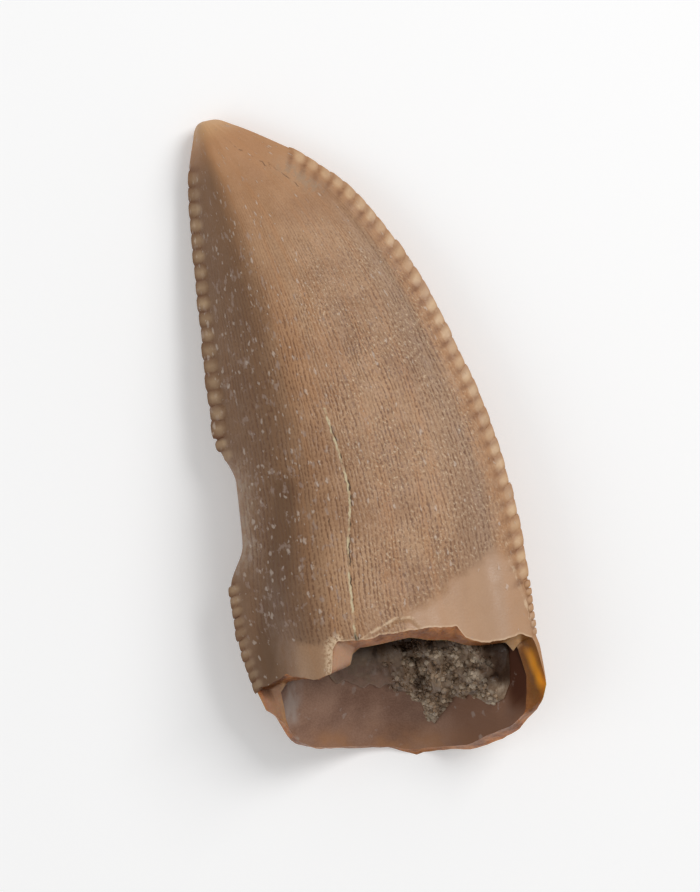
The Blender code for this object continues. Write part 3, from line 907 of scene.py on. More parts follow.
    def vein_masks(self, tree: Tree, solid: Socket) -> tuple[Socket, Socket]:
        """Builds the pale vein down the middle of the crown, the dark hairlines beside it and a painted
        shadow along one side of the vein.

        Args:
            tree: The material's tree.
            solid: Object coordinates in millimetres.

        Returns:
            The vein's mask, and the mask of the cracks together with the vein's painted shadow.
        """
        wobble = tree.times(tree.centred(tree.noise(solid, 6.0, 3.0)), 0.13)
        off = tree.math("ADD", tree.attribute("vein_side"), wobble)
        broken = tree.span(tree.noise(tree.stretched(solid, 1.0, 1.8), 1.3, 3.0), 0.38, 0.56, 0.15, 1.0)
        middle = tree.span(tree.math("ABSOLUTE", off), 0.060, 0.022)
        vein = tree.times(middle, tree.times(broken, 0.75))
        # Painted shadow: a dark thin line along one side of the vein.
        beside = tree.math("ABSOLUTE", tree.math("SUBTRACT", off, 0.050))
        gaps = tree.span(tree.noise(tree.stretched(solid, 2.0, 1.1), 1.7, 2.0), 0.46, 0.56, 0.0, 0.80)
        shadow = tree.times(tree.span(beside, 0.030, 0.010), gaps)
        jitter = tree.centred(tree.noise(solid, 3.5, 3.0))
        hair_side = tree.math("ABSOLUTE", tree.plus(jitter, 0.15, tree.attribute("hair_side")))
        hair = tree.times(tree.span(hair_side, 0.026, 0.006, 0.0, 0.45),
                          tree.span(tree.noise(solid, 2.6, 3.0), 0.46, 0.60))
        return vein, tree.math("MAXIMUM", tree.math("MAXIMUM", shadow, tree.attribute("notch")), hair)


@dataclass(frozen=True)
class BreakFinish(Finish):
    """The broken edge of the wall: glassy orange brown, amber at the mesial side, paler where it flaked."""

    NAME = "broken_rim"
    orange: tuple = tone(190, 124, 70)
    brown: tuple = tone(118, 68, 34)
    amber: tuple = tone(206, 134, 22)
    amber_dark: tuple = tone(112, 68, 20)
    flake: tuple = tone(186, 146, 118)
    wedge: tuple = tone(90, 46, 8)
    tan: tuple = tone(198, 154, 110)
    roughness: float = 0.36

    def inputs(self, tree: Tree, effects: SharedEffects, solid: Socket) -> dict[str, Given]:
        """What feeds the break's shader: its colours, with a painted streak of light in the amber, its gloss
        and a little light that passes through.
        """
        mottle = effects.mottled(tree, solid, (self.orange, self.brown), (1.5, 9.0))
        cloud = tree.span(tree.noise(tree.stretched(solid, 1.6, 0.5), 1.0, 2.0), 0.35, 0.75, 0.0, 0.35)
        # The amber keeps its darker tone everywhere but along a painted streak of light.
        cloud = tree.plus(tree.attribute("amber_unlit"), 0.95, cloud, clamp=True)
        colour = tree.layered(mottle.outputs["Color"], (
            (tree.attribute("rim_depth"), self.brown),
            (tree.attribute("amber"), tree.mix(cloud, self.amber, self.amber_dark)),
            (tree.attribute("flaked"), self.flake),
            (tree.attribute("tan"), self.tan),
            (tree.attribute("wedge"), self.wedge),
        ))
        height = tree.plus(mottle.outputs["Height"], 0.3, tree.noise(solid, 4.0, 4.0, 0.55))
        return {
            "Base Color": colour, "Specular IOR Level": 0.30, "Roughness": self.roughness,
            "Subsurface Weight": 0.25, "Subsurface Scale": 0.0005, "Subsurface Radius": (1.0, 0.45, 0.15),
            "Normal": tree.bump(height, 0.7, 0.00005),
        }


@dataclass(frozen=True)
class CavityFinish(Finish):
    """The smooth dentine of the pulp cavity's wall: mauve brown, browner towards its thin edge, with painted
    shade deep in the cavity and on its mesial wall.
    """

    NAME = "pulp_wall"
    pale: tuple = tone(152, 118, 98)
    dark: tuple = tone(120, 87, 70)
    edge: tuple = tone(158, 112, 76)
    # Painted shade, deep in the cavity and on its mesial wall.
    deep: tuple = tone(58, 28, 16)
    browned: tuple = tone(118, 80, 56)
    speck: tuple = tone(168, 152, 142)

    def inputs(self, tree: Tree, effects: SharedEffects, solid: Socket) -> dict[str, Given]:
        """What feeds the wall's shader: its colours with the painted shade, and a gloss that is lost where
        that shade is painted.
        """
        mottle = effects.mottled(tree, solid, (self.pale, self.dark), (0.7, 16.0))
        cloud, dot = effects.specked(tree, tree.stretched(solid, 1.0, 0.8), 0.30, 3.0)
        edge_clouds = tree.span(tree.noise(solid, 0.9, 3.0), 0.35, 0.65, 0.1, 0.85)
        veil = tree.span(tree.noise(tree.stretched(solid, 2.6, 0.9), 1.0, 4.0), 0.36, 0.62, 0.10, 0.75)
        # Painted shade deep in the cavity and on its mesial wall, which also takes the gloss away.
        deep = tree.attribute("deep")
        colour = tree.layered(mottle.outputs["Color"], (
            (tree.times(tree.attribute("thin_edge"), edge_clouds), self.edge),
            (tree.times(tree.attribute("browned"), 0.8), self.browned),
            (deep, self.deep),
            (tree.times(tree.attribute("veiled"), veil), self.speck),
            (tree.times(cloud, 0.40), self.speck),
            (tree.times(dot, 0.45), self.speck),
        ))
        height = tree.plus(dot, 0.4, tree.noise(solid, 3.0, 4.0, 0.55))
        return {
            "Base Color": colour, "Specular IOR Level": tree.span(deep, 0.30, 0.85, 0.25, 0.06),
            "Roughness": tree.span(tree.noise(solid, 2.0, 3.0), 0.3, 0.7, 0.38, 0.52),
            "Normal": tree.bump(height, 0.5, 0.00004),
        }


@dataclass(frozen=True)
class CalciteFinish(Finish):
    """Sugary calcite: grey beige crystals, with painted shade where they lie deep and painted highlights on
    the lumps' tops, and a few clean glints.
    """

    NAME = "calcite"
    pale: tuple = tone(158, 132, 106)
    dark: tuple = tone(102, 79, 60)
    # Painted shade under the cavity's roof and in the crust's creases.
    deep: tuple = tone(42, 25, 15)
    # Paler grains, and a painted highlight on the lumps' tops.
    pale_and_highlight: tuple = tone(204, 188, 166)
    wall: tuple = tone(132, 103, 86)

    def inputs(self, tree: Tree, effects: SharedEffects, solid: Socket) -> dict[str, Given]:
        """What feeds the calcite's shader: its colours with painted shade and painted highlights, its glints
        and a little light that passes through.
        """
        mottle = effects.mottled(tree, solid, (self.pale, self.dark), (1.1, 6.0))
        grain, deep = tree.attribute("grain"), tree.attribute("deep")
        # Painted highlight on the lumps' tops, with some grains paler at random.
        pale_and_highlight = tree.times(tree.attribute("high"), tree.span(tree.noise(solid, 2.6, 2.0), 0.38, 0.66))
        pale_and_highlight = tree.plus(tree.span(grain, 0.70, 0.95), 0.6, pale_and_highlight, clamp=True)
        bare_clouds = tree.span(tree.noise(solid, 3.2, 3.0), 0.66, 0.42, 0.35, 1.0)
        colour = tree.layered(mottle.outputs["Color"], (
            (tree.span(grain, 0.55, 0.15, 0.0, 0.45), self.dark),
            (tree.times(pale_and_highlight, 0.6), self.pale_and_highlight),
            (tree.times(tree.attribute("thin"), bare_clouds), self.wall),
            # Painted shade under the roof and in the creases, which also takes the gloss away.
            (deep, self.deep),
        ))
        return {
            "Base Color": colour, "Specular IOR Level": tree.span(deep, 0.30, 0.85, 0.35, 0.08),
            "Roughness": tree.span(tree.noise(solid, 5.0), 0.35, 0.65, 0.18, 0.45),
            "Subsurface Weight": 0.20, "Subsurface Scale": 0.0003, "Subsurface Radius": (1.0, 0.8, 0.6),
            "Normal": tree.bump(tree.noise(solid, 14.0, 3.0), 0.4, 0.00002),
        }


class DenticleTree:
    """The Geometry Nodes tree that sets a row of denticles along a path."""

    NAME = "denticle_row"

    def __init__(self) -> None:
        """Builds the tree once: the path's shares are raised to a power, which makes the pitch change."""
        self.group, tree, given, out = new_group(self.NAME, [
            ("Geometry", "Geometry"),
            ("Count", "Int", 10),
            ("Spacing Power", "Float", 1.0),
            ("Size Top", "Vector", (0.0, 0.0, 0.0)),
            ("Size Foot", "Vector", (0.0, 0.0, 0.0)),
            ("Squareness", "Float", 0.0),
            ("Inward", "Float", 1.0),
            ("Wedge", "Float", 0.5),
            ("Lean", "Float", 0.0),
            ("Unevenness", "Float", 0.11),
            ("Seed", "Int", 1),
            ("Material", "Material"),
        ], [("Geometry", "Geometry")], "GeometryNodeTree")
        path = tree.add("GeometryNodeMeshToCurve", {"Mesh": given["Geometry"]}).outputs[0]
        points = tree.add("GeometryNodePoints", {"Count": given["Count"]}).outputs[0]
        index = tree.add("GeometryNodeInputIndex").outputs[0]
        last = tree.math("SUBTRACT", given["Count"], 1.0)
        factor = tree.math("POWER", tree.math("DIVIDE", index, last), given["Spacing Power"])
        sample = tree.add("GeometryNodeSampleCurve", {"Curves": path, "Factor": factor}, mode="FACTOR")
        spots = {"Geometry": points, "Position": sample.outputs["Position"]}
        placed = tree.add("GeometryNodeSetPosition", spots)
        axes = {"Primary Axis": sample.outputs["Tangent"], "Secondary Axis": (0.0, 0.0, 1.0)}
        turn = tree.add("FunctionNodeAxesToRotation", axes, primary_axis="X", secondary_axis="Z")
        chance = tree.add("FunctionNodeRandomValue", data_type="FLOAT_VECTOR")
        tree.feed(chance.inputs[0], tree.math("SUBTRACT", 1.0, given["Unevenness"]))
        tree.feed(chance.inputs[1], tree.math("ADD", 1.0, given["Unevenness"]))
        tree.feed(identified(chance.inputs, "Seed"), given["Seed"])
        size = tree.add("ShaderNodeMix", data_type="VECTOR")
        for label, value in (("Factor_Float", factor), ("A_Vector", given["Size Top"]),
                             ("B_Vector", given["Size Foot"])):
            tree.feed(identified(size.inputs, label), value)
        sizes = {0: identified(size.outputs, "Result_Vector"), 1: chance.outputs[0]}
        scale = tree.add("ShaderNodeVectorMath", sizes, operation="MULTIPLY").outputs[0]
        block = tree.add("GeometryNodeMeshCube", {"Size": (2.25, 2.25, 2.25)}).outputs["Mesh"]
        rounded = tree.add("GeometryNodeSubdivisionSurface",
                           {"Mesh": block, "Level": 2, "Edge Crease": given["Squareness"]}).outputs[0]
        at = tree.add("ShaderNodeSeparateXYZ", {0: tree.add("GeometryNodeInputPosition").outputs[0]}).outputs
        inwards = tree.times(at["Y"], given["Inward"])
        leant = tree.math("SUBTRACT", at["X"], tree.times(inwards, given["Lean"]))
        thicker = tree.plus(inwards, given["Wedge"], 1.0)
        shape = {"X": leant, "Y": at["Y"], "Z": tree.times(at["Z"], thicker)}
        shaped = tree.add("ShaderNodeCombineXYZ", shape).outputs[0]
        wedge = tree.add("GeometryNodeSetPosition", {"Geometry": rounded, "Position": shaped}).outputs[0]
        copies = tree.add("GeometryNodeInstanceOnPoints", {
            "Points": placed.outputs[0], "Instance": wedge, "Rotation": turn.outputs[0], "Scale": scale})
        real = tree.add("GeometryNodeRealizeInstances", {"Geometry": copies.outputs[0]}).outputs[0]
        dressed = tree.add("GeometryNodeSetMaterial", {"Geometry": real, "Material": given["Material"]})
        tree.feed(out.inputs["Geometry"], dressed.outputs[0])


def run_tree(target: bpy.types.Object, group: bpy.types.NodeTree, values: dict) -> None:
    """Runs a Geometry Nodes tree on an object and keeps the result as its plain mesh.

    Args:
        target: The object.
        group: The tree.
        values: The tree's named inputs.
    """
    modifier = target.modifiers.new(group.name, "NODES")
    modifier.node_group = group
    for item in group.interface.items_tree:
        if item.item_type == "SOCKET" and item.in_out == "INPUT" and item.name in values:
            modifier[item.identifier] = values[item.name]
    as_plain_mesh(target)


@dataclass(frozen=True)
class DenticleRow:
    """One row of denticles; a size is half its length along the edge, its depth and its height."""

    name: str
    edge: Edge
    top: float
    foot: float
    count: int
    power: float
    size_top: tuple[float, float, float]
    size_foot: tuple[float, float, float]
    squareness: float
    wedge: float
    lean: float
    seed: int
    # The last two numbers: how strongly the painted highlight shows on the denticles' tops, less on the
    # distal rows, which face away from the light, and how dark the painted shade in their grooves is.
    pale: float
    groove_shade_amount: float

    def shares(self) -> np.ndarray:
        """The share of the edge's length at each denticle."""
        line, share = FORM.edge_lines[self.edge]
        begin, end = (float(np.interp(-y, -line[:, 1], share)) for y in (self.top, self.foot))
        return begin + (end - begin) * np.linspace(0.0, 1.0, self.count) ** self.power

    def path(self) -> np.ndarray:
        """Points along the row, as deep in the crown as its denticles' middles."""
        shares = self.shares()
        t = np.linspace(shares[0], shares[-1], 160)
        x, y = FORM.edge_point(self.edge, t, inset=self.size_top[1])
        z = FORM.outside(t, np.full_like(t, 0.0 if self.edge is Edge.DISTAL else 1.0), True)[:, 2]
        return np.stack([x, y, z], axis=-1)

    def build(self, tree: DenticleTree, material: bpy.types.Material) -> bpy.types.Object:
        """Builds the row.

        Args:
            tree: The Geometry Nodes tree.
            material: The enamel.

        Returns:
            The row's object, a plain mesh.
        """
        points = self.path()
        mesh = bpy.data.meshes.new(self.name)
        mesh.from_pydata((points * MM).tolist(), [(i, i + 1) for i in range(len(points) - 1)], [])
        made = bpy.data.objects.new(self.name, mesh)
        bpy.context.scene.collection.objects.link(made)
        run_tree(made, tree.group, {
            "Count": self.count,
            "Spacing Power": self.power,
            "Size Top": [v * MM for v in self.size_top],
            "Size Foot": [v * MM for v in self.size_foot],
            "Squareness": self.squareness,
            "Inward": -self.edge.value,
            "Wedge": self.wedge,
            "Lean": self.lean,
            "Seed": self.seed,
            "Material": material,
        })
        return made


@dataclass
class Crown:
    """The tooth crown: one closed shell from the tip to the broken rim and up the pulp cavity."""

    columns_upper: int = 236
    columns_lower: int = 60
    rows_outside: int = 222
    rows_break: int = 9
    rows_inside: int = 30
    column_closeness: float = 0.6
    row_closeness: float = 1.15
    row_evenness: float = 5.0
    striae_relief: float = 0.005
    rim_raggedness: float = 0.030
    break_hollow: float = 0.07
    worn_depth: float = 0.020
    rim_at: tuple[np.ndarray, np.ndarray] = field(init=False)
    worn_patch: Points = field(default_factory=lambda: [
        (4.70, -4.10), (4.10, -4.62), (3.62, -4.95), (3.20, -5.10), (2.84, -5.62), (2.30, -6.00),
        (1.62, -6.32), (1.70, -7.40), (6.10, -7.40), (6.12, -6.60), (5.86, -5.85), (5.55, -5.00),
        (5.24, -4.40),
    ])
    smooth_patch: Points = field(default_factory=lambda: [
        (-4.30, -7.90), (-3.10, -7.20), (-2.00, -7.34), (-0.60, -7.38), (-0.40, -9.20), (-4.30, -9.60),
    ])
    flake: Points = field(default_factory=lambda: [
        (-1.00, -7.34), (-0.63, -7.27), (-0.30, -7.50), (-0.42, -8.15), (-1.14, -8.45),
    ])
    left_facet: Points = field(default_factory=lambda: [
        (-3.70, -9.25), (-3.05, -8.90), (-2.70, -8.95), (-2.80, -9.60), (-2.92, -10.20), (-3.70, -9.80),
    ])
    shade_line: Points = field(default_factory=lambda: [
        (-2.70, -1.90), (-2.95, -4.40), (-3.15, -5.90), (-3.62, -8.80),
    ])
    pale_lines: list[Points] = field(default_factory=lambda: [
        [(-0.99, -7.28), (-1.04, -7.80), (-1.12, -8.30)],
        [(2.10, -6.80), (1.70, -6.42), (1.22, -6.44), (0.74, -6.66), (0.32, -6.92), (0.02, -7.12)],
        [(5.30, -4.50), (5.80, -5.85), (6.02, -6.55)],
    ])
    facet: Points = field(default_factory=lambda: [
        (0.72, -6.95), (1.20, -6.52), (1.66, -6.46), (2.08, -6.86),
    ])
    amber_light: Points = field(default_factory=lambda: [
        (5.88, -7.50), (5.97, -7.80), (6.12, -8.20), (6.30, -8.62), (6.46, -8.98),
    ])
    wedge: Points = field(default_factory=lambda: [
        (-3.72, -9.02), (-3.30, -8.78), (-2.95, -8.52), (-2.72, -8.60), (-2.92, -8.86), (-3.62, -9.34),
    ])
    orange_line: Points = field(default_factory=lambda: [(-1.30, -8.56), (-0.95, -8.44), (-0.45, -8.24)])
    tan_line: Points = field(default_factory=lambda: [(-2.86, -8.90), (-2.84, -9.60), (-2.80, -10.30)])
    veil: Points = field(default_factory=lambda: [
        (-2.90, -8.50), (-2.20, -8.50), (-2.35, -10.30), (-2.75, -10.30),
    ])
    point_facet: Points = field(default_factory=lambda: [
        (4.98, -7.36), (5.66, -6.98), (5.66, -7.42), (5.34, -7.80),
    ])
    tip_smudge: Points = field(default_factory=lambda: [(-2.84, 9.75), (-2.20, 9.35), (-1.50, 8.80)])
    flake_border: Points = field(default_factory=lambda: [(-0.86, -7.14), (-1.16, -7.34), (-1.18, -8.30)])
    vein: Points = field(default_factory=lambda: [
        (-1.30, 1.10), (-1.14, 0.22), (-0.85, -0.61), (-0.53, -1.73), (-0.45, -2.45), (-0.53, -3.82),
        (-0.49, -4.93), (-0.42, -5.62), (-0.35, -6.19), (-0.27, -7.02), (-0.12, -7.46),
    ])
    hairlines: list[Points] = field(default_factory=lambda: [
        [(-4.70, 10.55), (-4.48, 10.35), (-4.18, 10.26), (-3.93, 10.02), (-3.62, 9.88), (-3.44, 9.66)],
        [(-3.26, 9.76), (-2.80, 9.40), (-2.10, 8.86)],
        [(-1.16, -2.62), (-1.20, -3.20), (-1.24, -3.60)],
    ])
    rows: list[DenticleRow] = field(default_factory=lambda: [
        DenticleRow("distal_denticles", Edge.DISTAL, 9.32, 0.22, 17, 1.0,
                    (0.296, 0.26, 0.20), (0.318, 0.32, 0.27), 0.38, 0.90, 0.0, 3, 0.55, 0.66),
        DenticleRow("broken_distal_denticles", Edge.DISTAL, -0.36, -0.80, 2, 1.0,
                    (0.24, 0.26, 0.24), (0.17, 0.20, 0.16), 0.20, 0.90, 0.0, 4, 0.45, 0.50),
        DenticleRow("small_distal_denticles", Edge.DISTAL, -5.55, -9.00, 10, 1.0,
                    (0.200, 0.24, 0.20), (0.185, 0.22, 0.17), 0.40, 0.90, 0.45, 5, 0.36, 0.72),
        DenticleRow("mesial_denticles", Edge.MESIAL, 10.22, -4.85, 32, 1.0,
                    (0.318, 0.25, 0.11), (0.304, 0.25, 0.13), 0.40, 0.60, -0.50, 6, 0.74, 0.80),
        DenticleRow("small_mesial_denticles", Edge.MESIAL, -5.30, -7.00, 7, 1.0,
                    (0.130, 0.11, 0.08), (0.110, 0.09, 0.06), 0.30, 0.60, -0.35, 7, 0.25, 0.45),
    ])

    def vein_x(self, y: np.ndarray) -> np.ndarray:
        """The x of the vein at each height y."""
        return np.interp(-y, [-p[1] for p in self.vein], [p[0] for p in self.vein])

    def columns(self) -> tuple[np.ndarray, np.ndarray]:
        """The share across of each column round the crown, and whether it is on the upper cheek."""
        over = np.linspace(0.0, 1.0, self.columns_upper + 1)
        under = np.linspace(1.0, 0.0, self.columns_lower + 1)[1:-1]
        even = np.concatenate([over, under])
        share = even - self.column_closeness * np.sin(2.0 * math.pi * even) / (2.0 * math.pi)
        return share, np.arange(len(even)) < len(over)

    def striated(self, t: np.ndarray, u: np.ndarray) -> np.ndarray:
        """How strongly the striae show: less near the tip and hardly beside the edges."""
        inner = eased(u, 0.02, 0.10) * eased(u, 0.985, 0.90)
        return eased(t, 0.05, 0.45) * inner

    def skin(self, t: np.ndarray, u: np.ndarray, upper: np.ndarray) -> np.ndarray:
        """The crown's outside with its fine relief.

        Args:
            t: Shares of its length.
            u: Shares across it.
            upper: Whether each point is on the upper cheek.

        Returns:
            The points, as an (N, 3) array.
        """
        points = FORM.outside(t, u, upper)
        x, y = points[:, 0], points[:, 1]
        away = np.clip(np.sin(math.pi * np.clip(u, 0.0, 1.0)) * 3.0, 0.0, 1.0) * eased(t, 0.0, 0.06)
        worn = in_patch(x, y, self.worn_patch, -0.16, 0.14)
        bare = np.maximum(worn, in_patch(x, y, self.smooth_patch, -0.05, 0.06))
        lines = uneven(u * 95.0, t * 7.0, 11) * self.striae_relief * self.striated(t, u) * (1.0 - bare)
        swells = 0.035 * uneven(u * 7.0, t * 9.0, 12) + 0.012 * uneven(u * 22.0, t * 30.0, 13)
        chip = FORM.chip_share(y) * eased(u, 0.10, 0.05)
        pits = 0.10 * uneven(u * 60.0, t * 55.0, 14) + 0.05 * uneven(u * 120.0, t * 140.0, 15)
        rough = chip * (pits - 0.06)
        along_vein = eased(y, self.vein[0][1], self.vein[2][1])
        groove = 0.035 * dip(x - self.vein_x(y), 0.03, 0.06) * along_vein
        facet = 0.07 * in_patch(x, y, self.facet, -0.02, 0.05)
        over = lines + swells + rough - self.worn_depth * worn - groove - facet
        under = 0.6 * swells + 0.7 * lines
        points[:, 2] += np.where(upper, over, -np.minimum(under, 0.0)) * away
        points[:, 2] = np.maximum(points[:, 2], 0.0)
        return points

    def shell(self) -> tuple[np.ndarray, list, list[int]]:
        """The crown's points, faces and each face's material slot, without its denticles."""
        u, upper = self.columns()
        ragged = uneven(u * 42.0, upper * 7.0, 21) + 0.5 * uneven(u * 110.0, upper * 7.0, 22)
        ragged = self.rim_raggedness * ragged
        rim = np.where(upper, line_height(FORM.upper_rim, u), line_height(FORM.lower_rim, u)) + ragged
        rim_t = FORM.share_at(FORM.outside, u, upper, rim)
        self.rim_at = (u[upper], rim_t[upper])
        worn_off = 0.5 * self.rim_raggedness * uneven(u * 36.0, upper * 7.0, 23)
        mouth = np.where(upper, line_height(FORM.upper_mouth, u), line_height(FORM.lower_mouth, u))
        mouth = mouth + worn_off
        mouth_t = FORM.share_at(FORM.inside, u, upper, mouth)
        mean_t = rim_t.mean()
        rings = []
        for row in np.linspace(0.0, 1.0, self.rows_outside + 1)[1:] ** self.row_closeness:
            rings.append(self.skin(mean_t * row + (rim_t - mean_t) * row**self.row_evenness, u, upper))
        outer, inner = rings[-1], FORM.inside(mouth_t, u, upper)
        wide = np.linalg.norm(outer - inner, axis=1)
        for row in np.linspace(0.0, 1.0, self.rows_break + 1)[1:-1]:
            band = outer + (inner - outer) * row
            hollow = math.sin(math.pi * row) * np.minimum(wide, 1.0)
            scallops = 0.6 + 0.4 * uneven(u * 24.0 + 0.5 * row, np.full_like(u, 3.0 * row), 24)
            band[:, 1] += self.break_hollow * hollow * scallops
            band[:, 2] += 0.05 * hollow * uneven(u * 55.0, np.full_like(u, 5.0 * row), 25)
            rings.append(band)
        rings.append(inner)
        for row in np.linspace(1.0, 0.0, self.rows_inside + 1)[1:-1]:
            wall = FORM.inside(FORM.cavity_end + (mouth_t - FORM.cavity_end) * row, u, upper)
            wall[:, 2] += 0.02 * uneven(u * 9.0, np.full_like(u, 9.0 * row), 26) * math.sin(math.pi * row)
            rings.append(wall)
        tip = FORM.outside(np.zeros(1), np.zeros(1), True)
        deep_end = FORM.inside(np.array([FORM.cavity_end]), np.array([0.5]), True)
        return self.stitched(rings, tip, deep_end)

    def stitched(self, rings: list[np.ndarray], tip: np.ndarray, deep_end: np.ndarray) -> tuple:
        """Joins rings of points into one closed shell.

        Args:
            rings: The rings, from the tip round the rim to the cavity's deep end.
            tip: The point at the tip.
            deep_end: The point at the cavity's deep end.

        Returns:
            The points, the faces and each face's material slot.
        """
        count = len(rings[0])
        points = np.vstack([*rings, tip, deep_end])
        start, end = len(points) - 2, len(points) - 1
        faces, slots = [], []
        for ring in range(len(rings) - 1):
            if ring < self.rows_outside - 1:
                zone = Zone.ENAMEL
            elif ring < self.rows_outside - 1 + self.rows_break:
                zone = Zone.BREAK
            else:
                zone = Zone.CAVITY
            base = ring * count
            for i in range(count):
                k = (i + 1) % count
                faces.append((base + k, base + i, base + count + i, base + count + k))
                slots.append(zone.value)
        last = (len(rings) - 1) * count
        for i in range(count):
            k = (i + 1) % count
            faces.append((start, i, k))
            slots.append(Zone.ENAMEL.value)
            faces.append((last + k, last + i, end))
            slots.append(Zone.CAVITY.value)
        if signed_volume(points, faces) < 0.0:
            faces = [face[::-1] for face in faces]
        return points, faces, slots

    def build(self, effects: SharedEffects) -> bpy.types.Object:
        """Builds the crown with its denticles joined to it, dressed.

        Args:
            effects: The shared node groups.

        Returns:
            The crown's object.
        """
        materials = [finish.build(effects) for finish in (EnamelFinish(), BreakFinish(), CavityFinish())]
        crown = new_object("fossil_crown", *self.shell())
        for material in materials:
            crown.data.materials.append(material)
        tree = DenticleTree()
        for row in self.rows:
            denticles = row.build(tree, materials[Zone.ENAMEL.value])
            union = crown.modifiers.new(row.name, "BOOLEAN")
            union.operation, union.solver, union.object = "UNION", "MANIFOLD", denticles
            before = len(crown.data.vertices)
            as_plain_mesh(crown)
            LOG.info("%s joined: %d points more", row.name, len(crown.data.vertices) - before)
            bpy.data.objects.remove(denticles)
        self.mark(crown.data)
        crown.data.shade_smooth()
        crown.data.set_sharp_from_angle(angle=math.radians(38.0))
        return crown

    def mark(self, mesh: bpy.types.Mesh) -> None:
        """Stores, at each point, what the materials need to know about its place."""
        points = read_points(mesh)
        x, y, z = points.T
        t, u = FORM.place_of(x, y)
        chips = FORM.chip_share(y) * eased(u, 0.135, 0.065)
        worn = distance_inside(x, y, self.worn_patch)
        low, high = (FORM.outside(t, np.clip(u, 0.0, 1.0), top)[:, 2] for top in (False, True))
        up = z > 0.5 * (low + high) - 0.02
        apart = np.where(up, 0.0, 7.0)
        write_attribute(mesh, "place", np.stack([u * FORM.width, t * FORM.length, apart], axis=-1))
        write_attribute(mesh, "worn_inside", np.where(up, worn, -1.0))
        smooth = in_patch(x, y, self.smooth_patch, -0.10, 0.15)
        clear = np.where(up, np.minimum(eased(worn, 0.10, -0.40), 1.0 - smooth), 1.0)
        write_attribute(mesh, "striated", self.striated(t, u) * clear)
        wrinkled = eased(t, 0.20, 0.34) * eased(u, 0.34, 0.56) * eased(u, 1.00, 0.92)
        write_attribute(mesh, "wrinkled", wrinkled * clear)
        speckled = 0.30 + 0.70 * eased(u, 0.62, 0.25) * eased(t, 0.02, 0.20)
        write_attribute(mesh, "speckled", speckled * (0.3 + 0.7 * clear))
        smudge = 0.8 * on_line(x, y, self.tip_smudge, 0.30)
        write_attribute(mesh, "spall", np.where(up, np.maximum(chips, smudge), 0.3 * chips))
        border = on_line(x, y, self.flake_border, 0.17)
        write_attribute(mesh, "flake_border", np.where(up, border, 0.0))
        # Painted shade: a band along the fold, and the distal flank darker where it turns away from the
        # light, less so low down by the smooth patch; partly the flank's own browner tone.
        shade = on_line(x, y, self.shade_line, 0.40) * up
        flank_tone_and_shade = eased(u, 0.40, 0.20) * eased(t, 0.03, 0.12) * (1.0 - 0.7 * smooth * eased(x, -2.8, -2.0))
        flank_tone_and_shade = np.clip(0.70 * flank_tone_and_shade + 0.35 * shade, 0.0, 0.9) * (1.0 - 0.4 * chips)
        write_attribute(mesh, "flank_tone_and_shade", flank_tone_and_shade)
        write_attribute(mesh, "pale_side", np.where(up, beside_lines(x, y, self.pale_lines), 9.0))
        write_attribute(mesh, "hair_side", np.where(up, beside_lines(x, y, self.hairlines), 9.0))
        rim = (np.interp(u, *self.rim_at) - t) * FORM.length
        write_attribute(mesh, "near_rim", np.where(up & (u > 0.27) & (u < 0.99), rim, 9.0))
        vein_side = np.where(up & (y < self.vein[0][1]), x - self.vein_x(y), 9.0)
        write_attribute(mesh, "vein_side", vein_side + 0.1 * eased(y, 0.3, 1.1))
        notch_x = np.interp(-y, [6.95, 7.20, 7.60], [-0.30, -0.22, -0.02])
        notch = eased(np.abs(x - notch_x), 0.07, 0.02) * eased(y, -6.85, -7.1)
        write_attribute(mesh, "notch", np.where(up, notch, 0.0))
        self.mark_denticles(mesh, x, y)
        self.mark_break(mesh, points, t, u)

    def mark_denticles(self, mesh: bpy.types.Mesh, x: np.ndarray, y: np.ndarray) -> None:
        """Stores where the denticles' pale tops are, with their painted highlight, and the painted shade in
        the grooves round them.
        """
        bead_tip_and_highlight, groove_shade = np.zeros_like(x), np.zeros_like(x)
        for row in self.rows:
            shares = row.shares()
            cx, cy = FORM.edge_point(row.edge, shares, inset=0.0)
            ahead_x, ahead_y = FORM.edge_point(row.edge, shares + 0.004, inset=0.0)
            length = np.hypot(ahead_x - cx, ahead_y - cy)
            ex, ey = (ahead_x - cx) / length, (ahead_y - cy) / length
            where = np.flatnonzero((y < cy.max() + 0.8) & (y > cy.min() - 0.8))
            px, py = x[where][:, None] - cx[None, :], y[where][:, None] - cy[None, :]
            nearest = np.argmin(np.hypot(px, py), axis=1)
            px, py = px[np.arange(len(where)), nearest], py[np.arange(len(where)), nearest]
            ex, ey, wide = ex[nearest], ey[nearest], 2.0 * row.size_top[1]
            half_pitch = 0.5 * np.hypot(np.gradient(cx), np.gradient(cy))[nearest]
            inwards = (-px * ey + py * ex) * -row.edge.value / wide
            along = (px * ex + py * ey) / half_pitch + row.lean * (inwards - 0.3)
            mesial = row.edge is Edge.MESIAL
            top = np.hypot(along / 0.85, (inwards - (0.28 if mesial else 0.38)) / (0.50 if mesial else 0.55))
            # Painted shade in the grooves between neighbouring denticles, and on mesial rows a painted shadow
            # on each one's lower inner side.
            between = eased(np.abs(along), 0.55, 1.0) * eased(np.abs(along), 1.7, 1.2)
            if mesial:
                low_side = dip(along, 0.75, 0.45) * dip(inwards, 0.80, 0.30)
                gap = np.maximum(between * dip(inwards, 0.70, 0.50), low_side)
            else:
                gap = between * eased(inwards, 1.15, 0.45)
            chance = np.random.default_rng(row.seed).uniform(0.55, 1.0, (2, row.count))
            grown = 0.55 + 0.45 * eased(cy, 9.6, 7.0) if not mesial else np.ones(row.count)
            pale, groove_shade_amount = (row.pale * chance[0] * grown)[nearest], (row.groove_shade_amount * chance[1])[nearest]
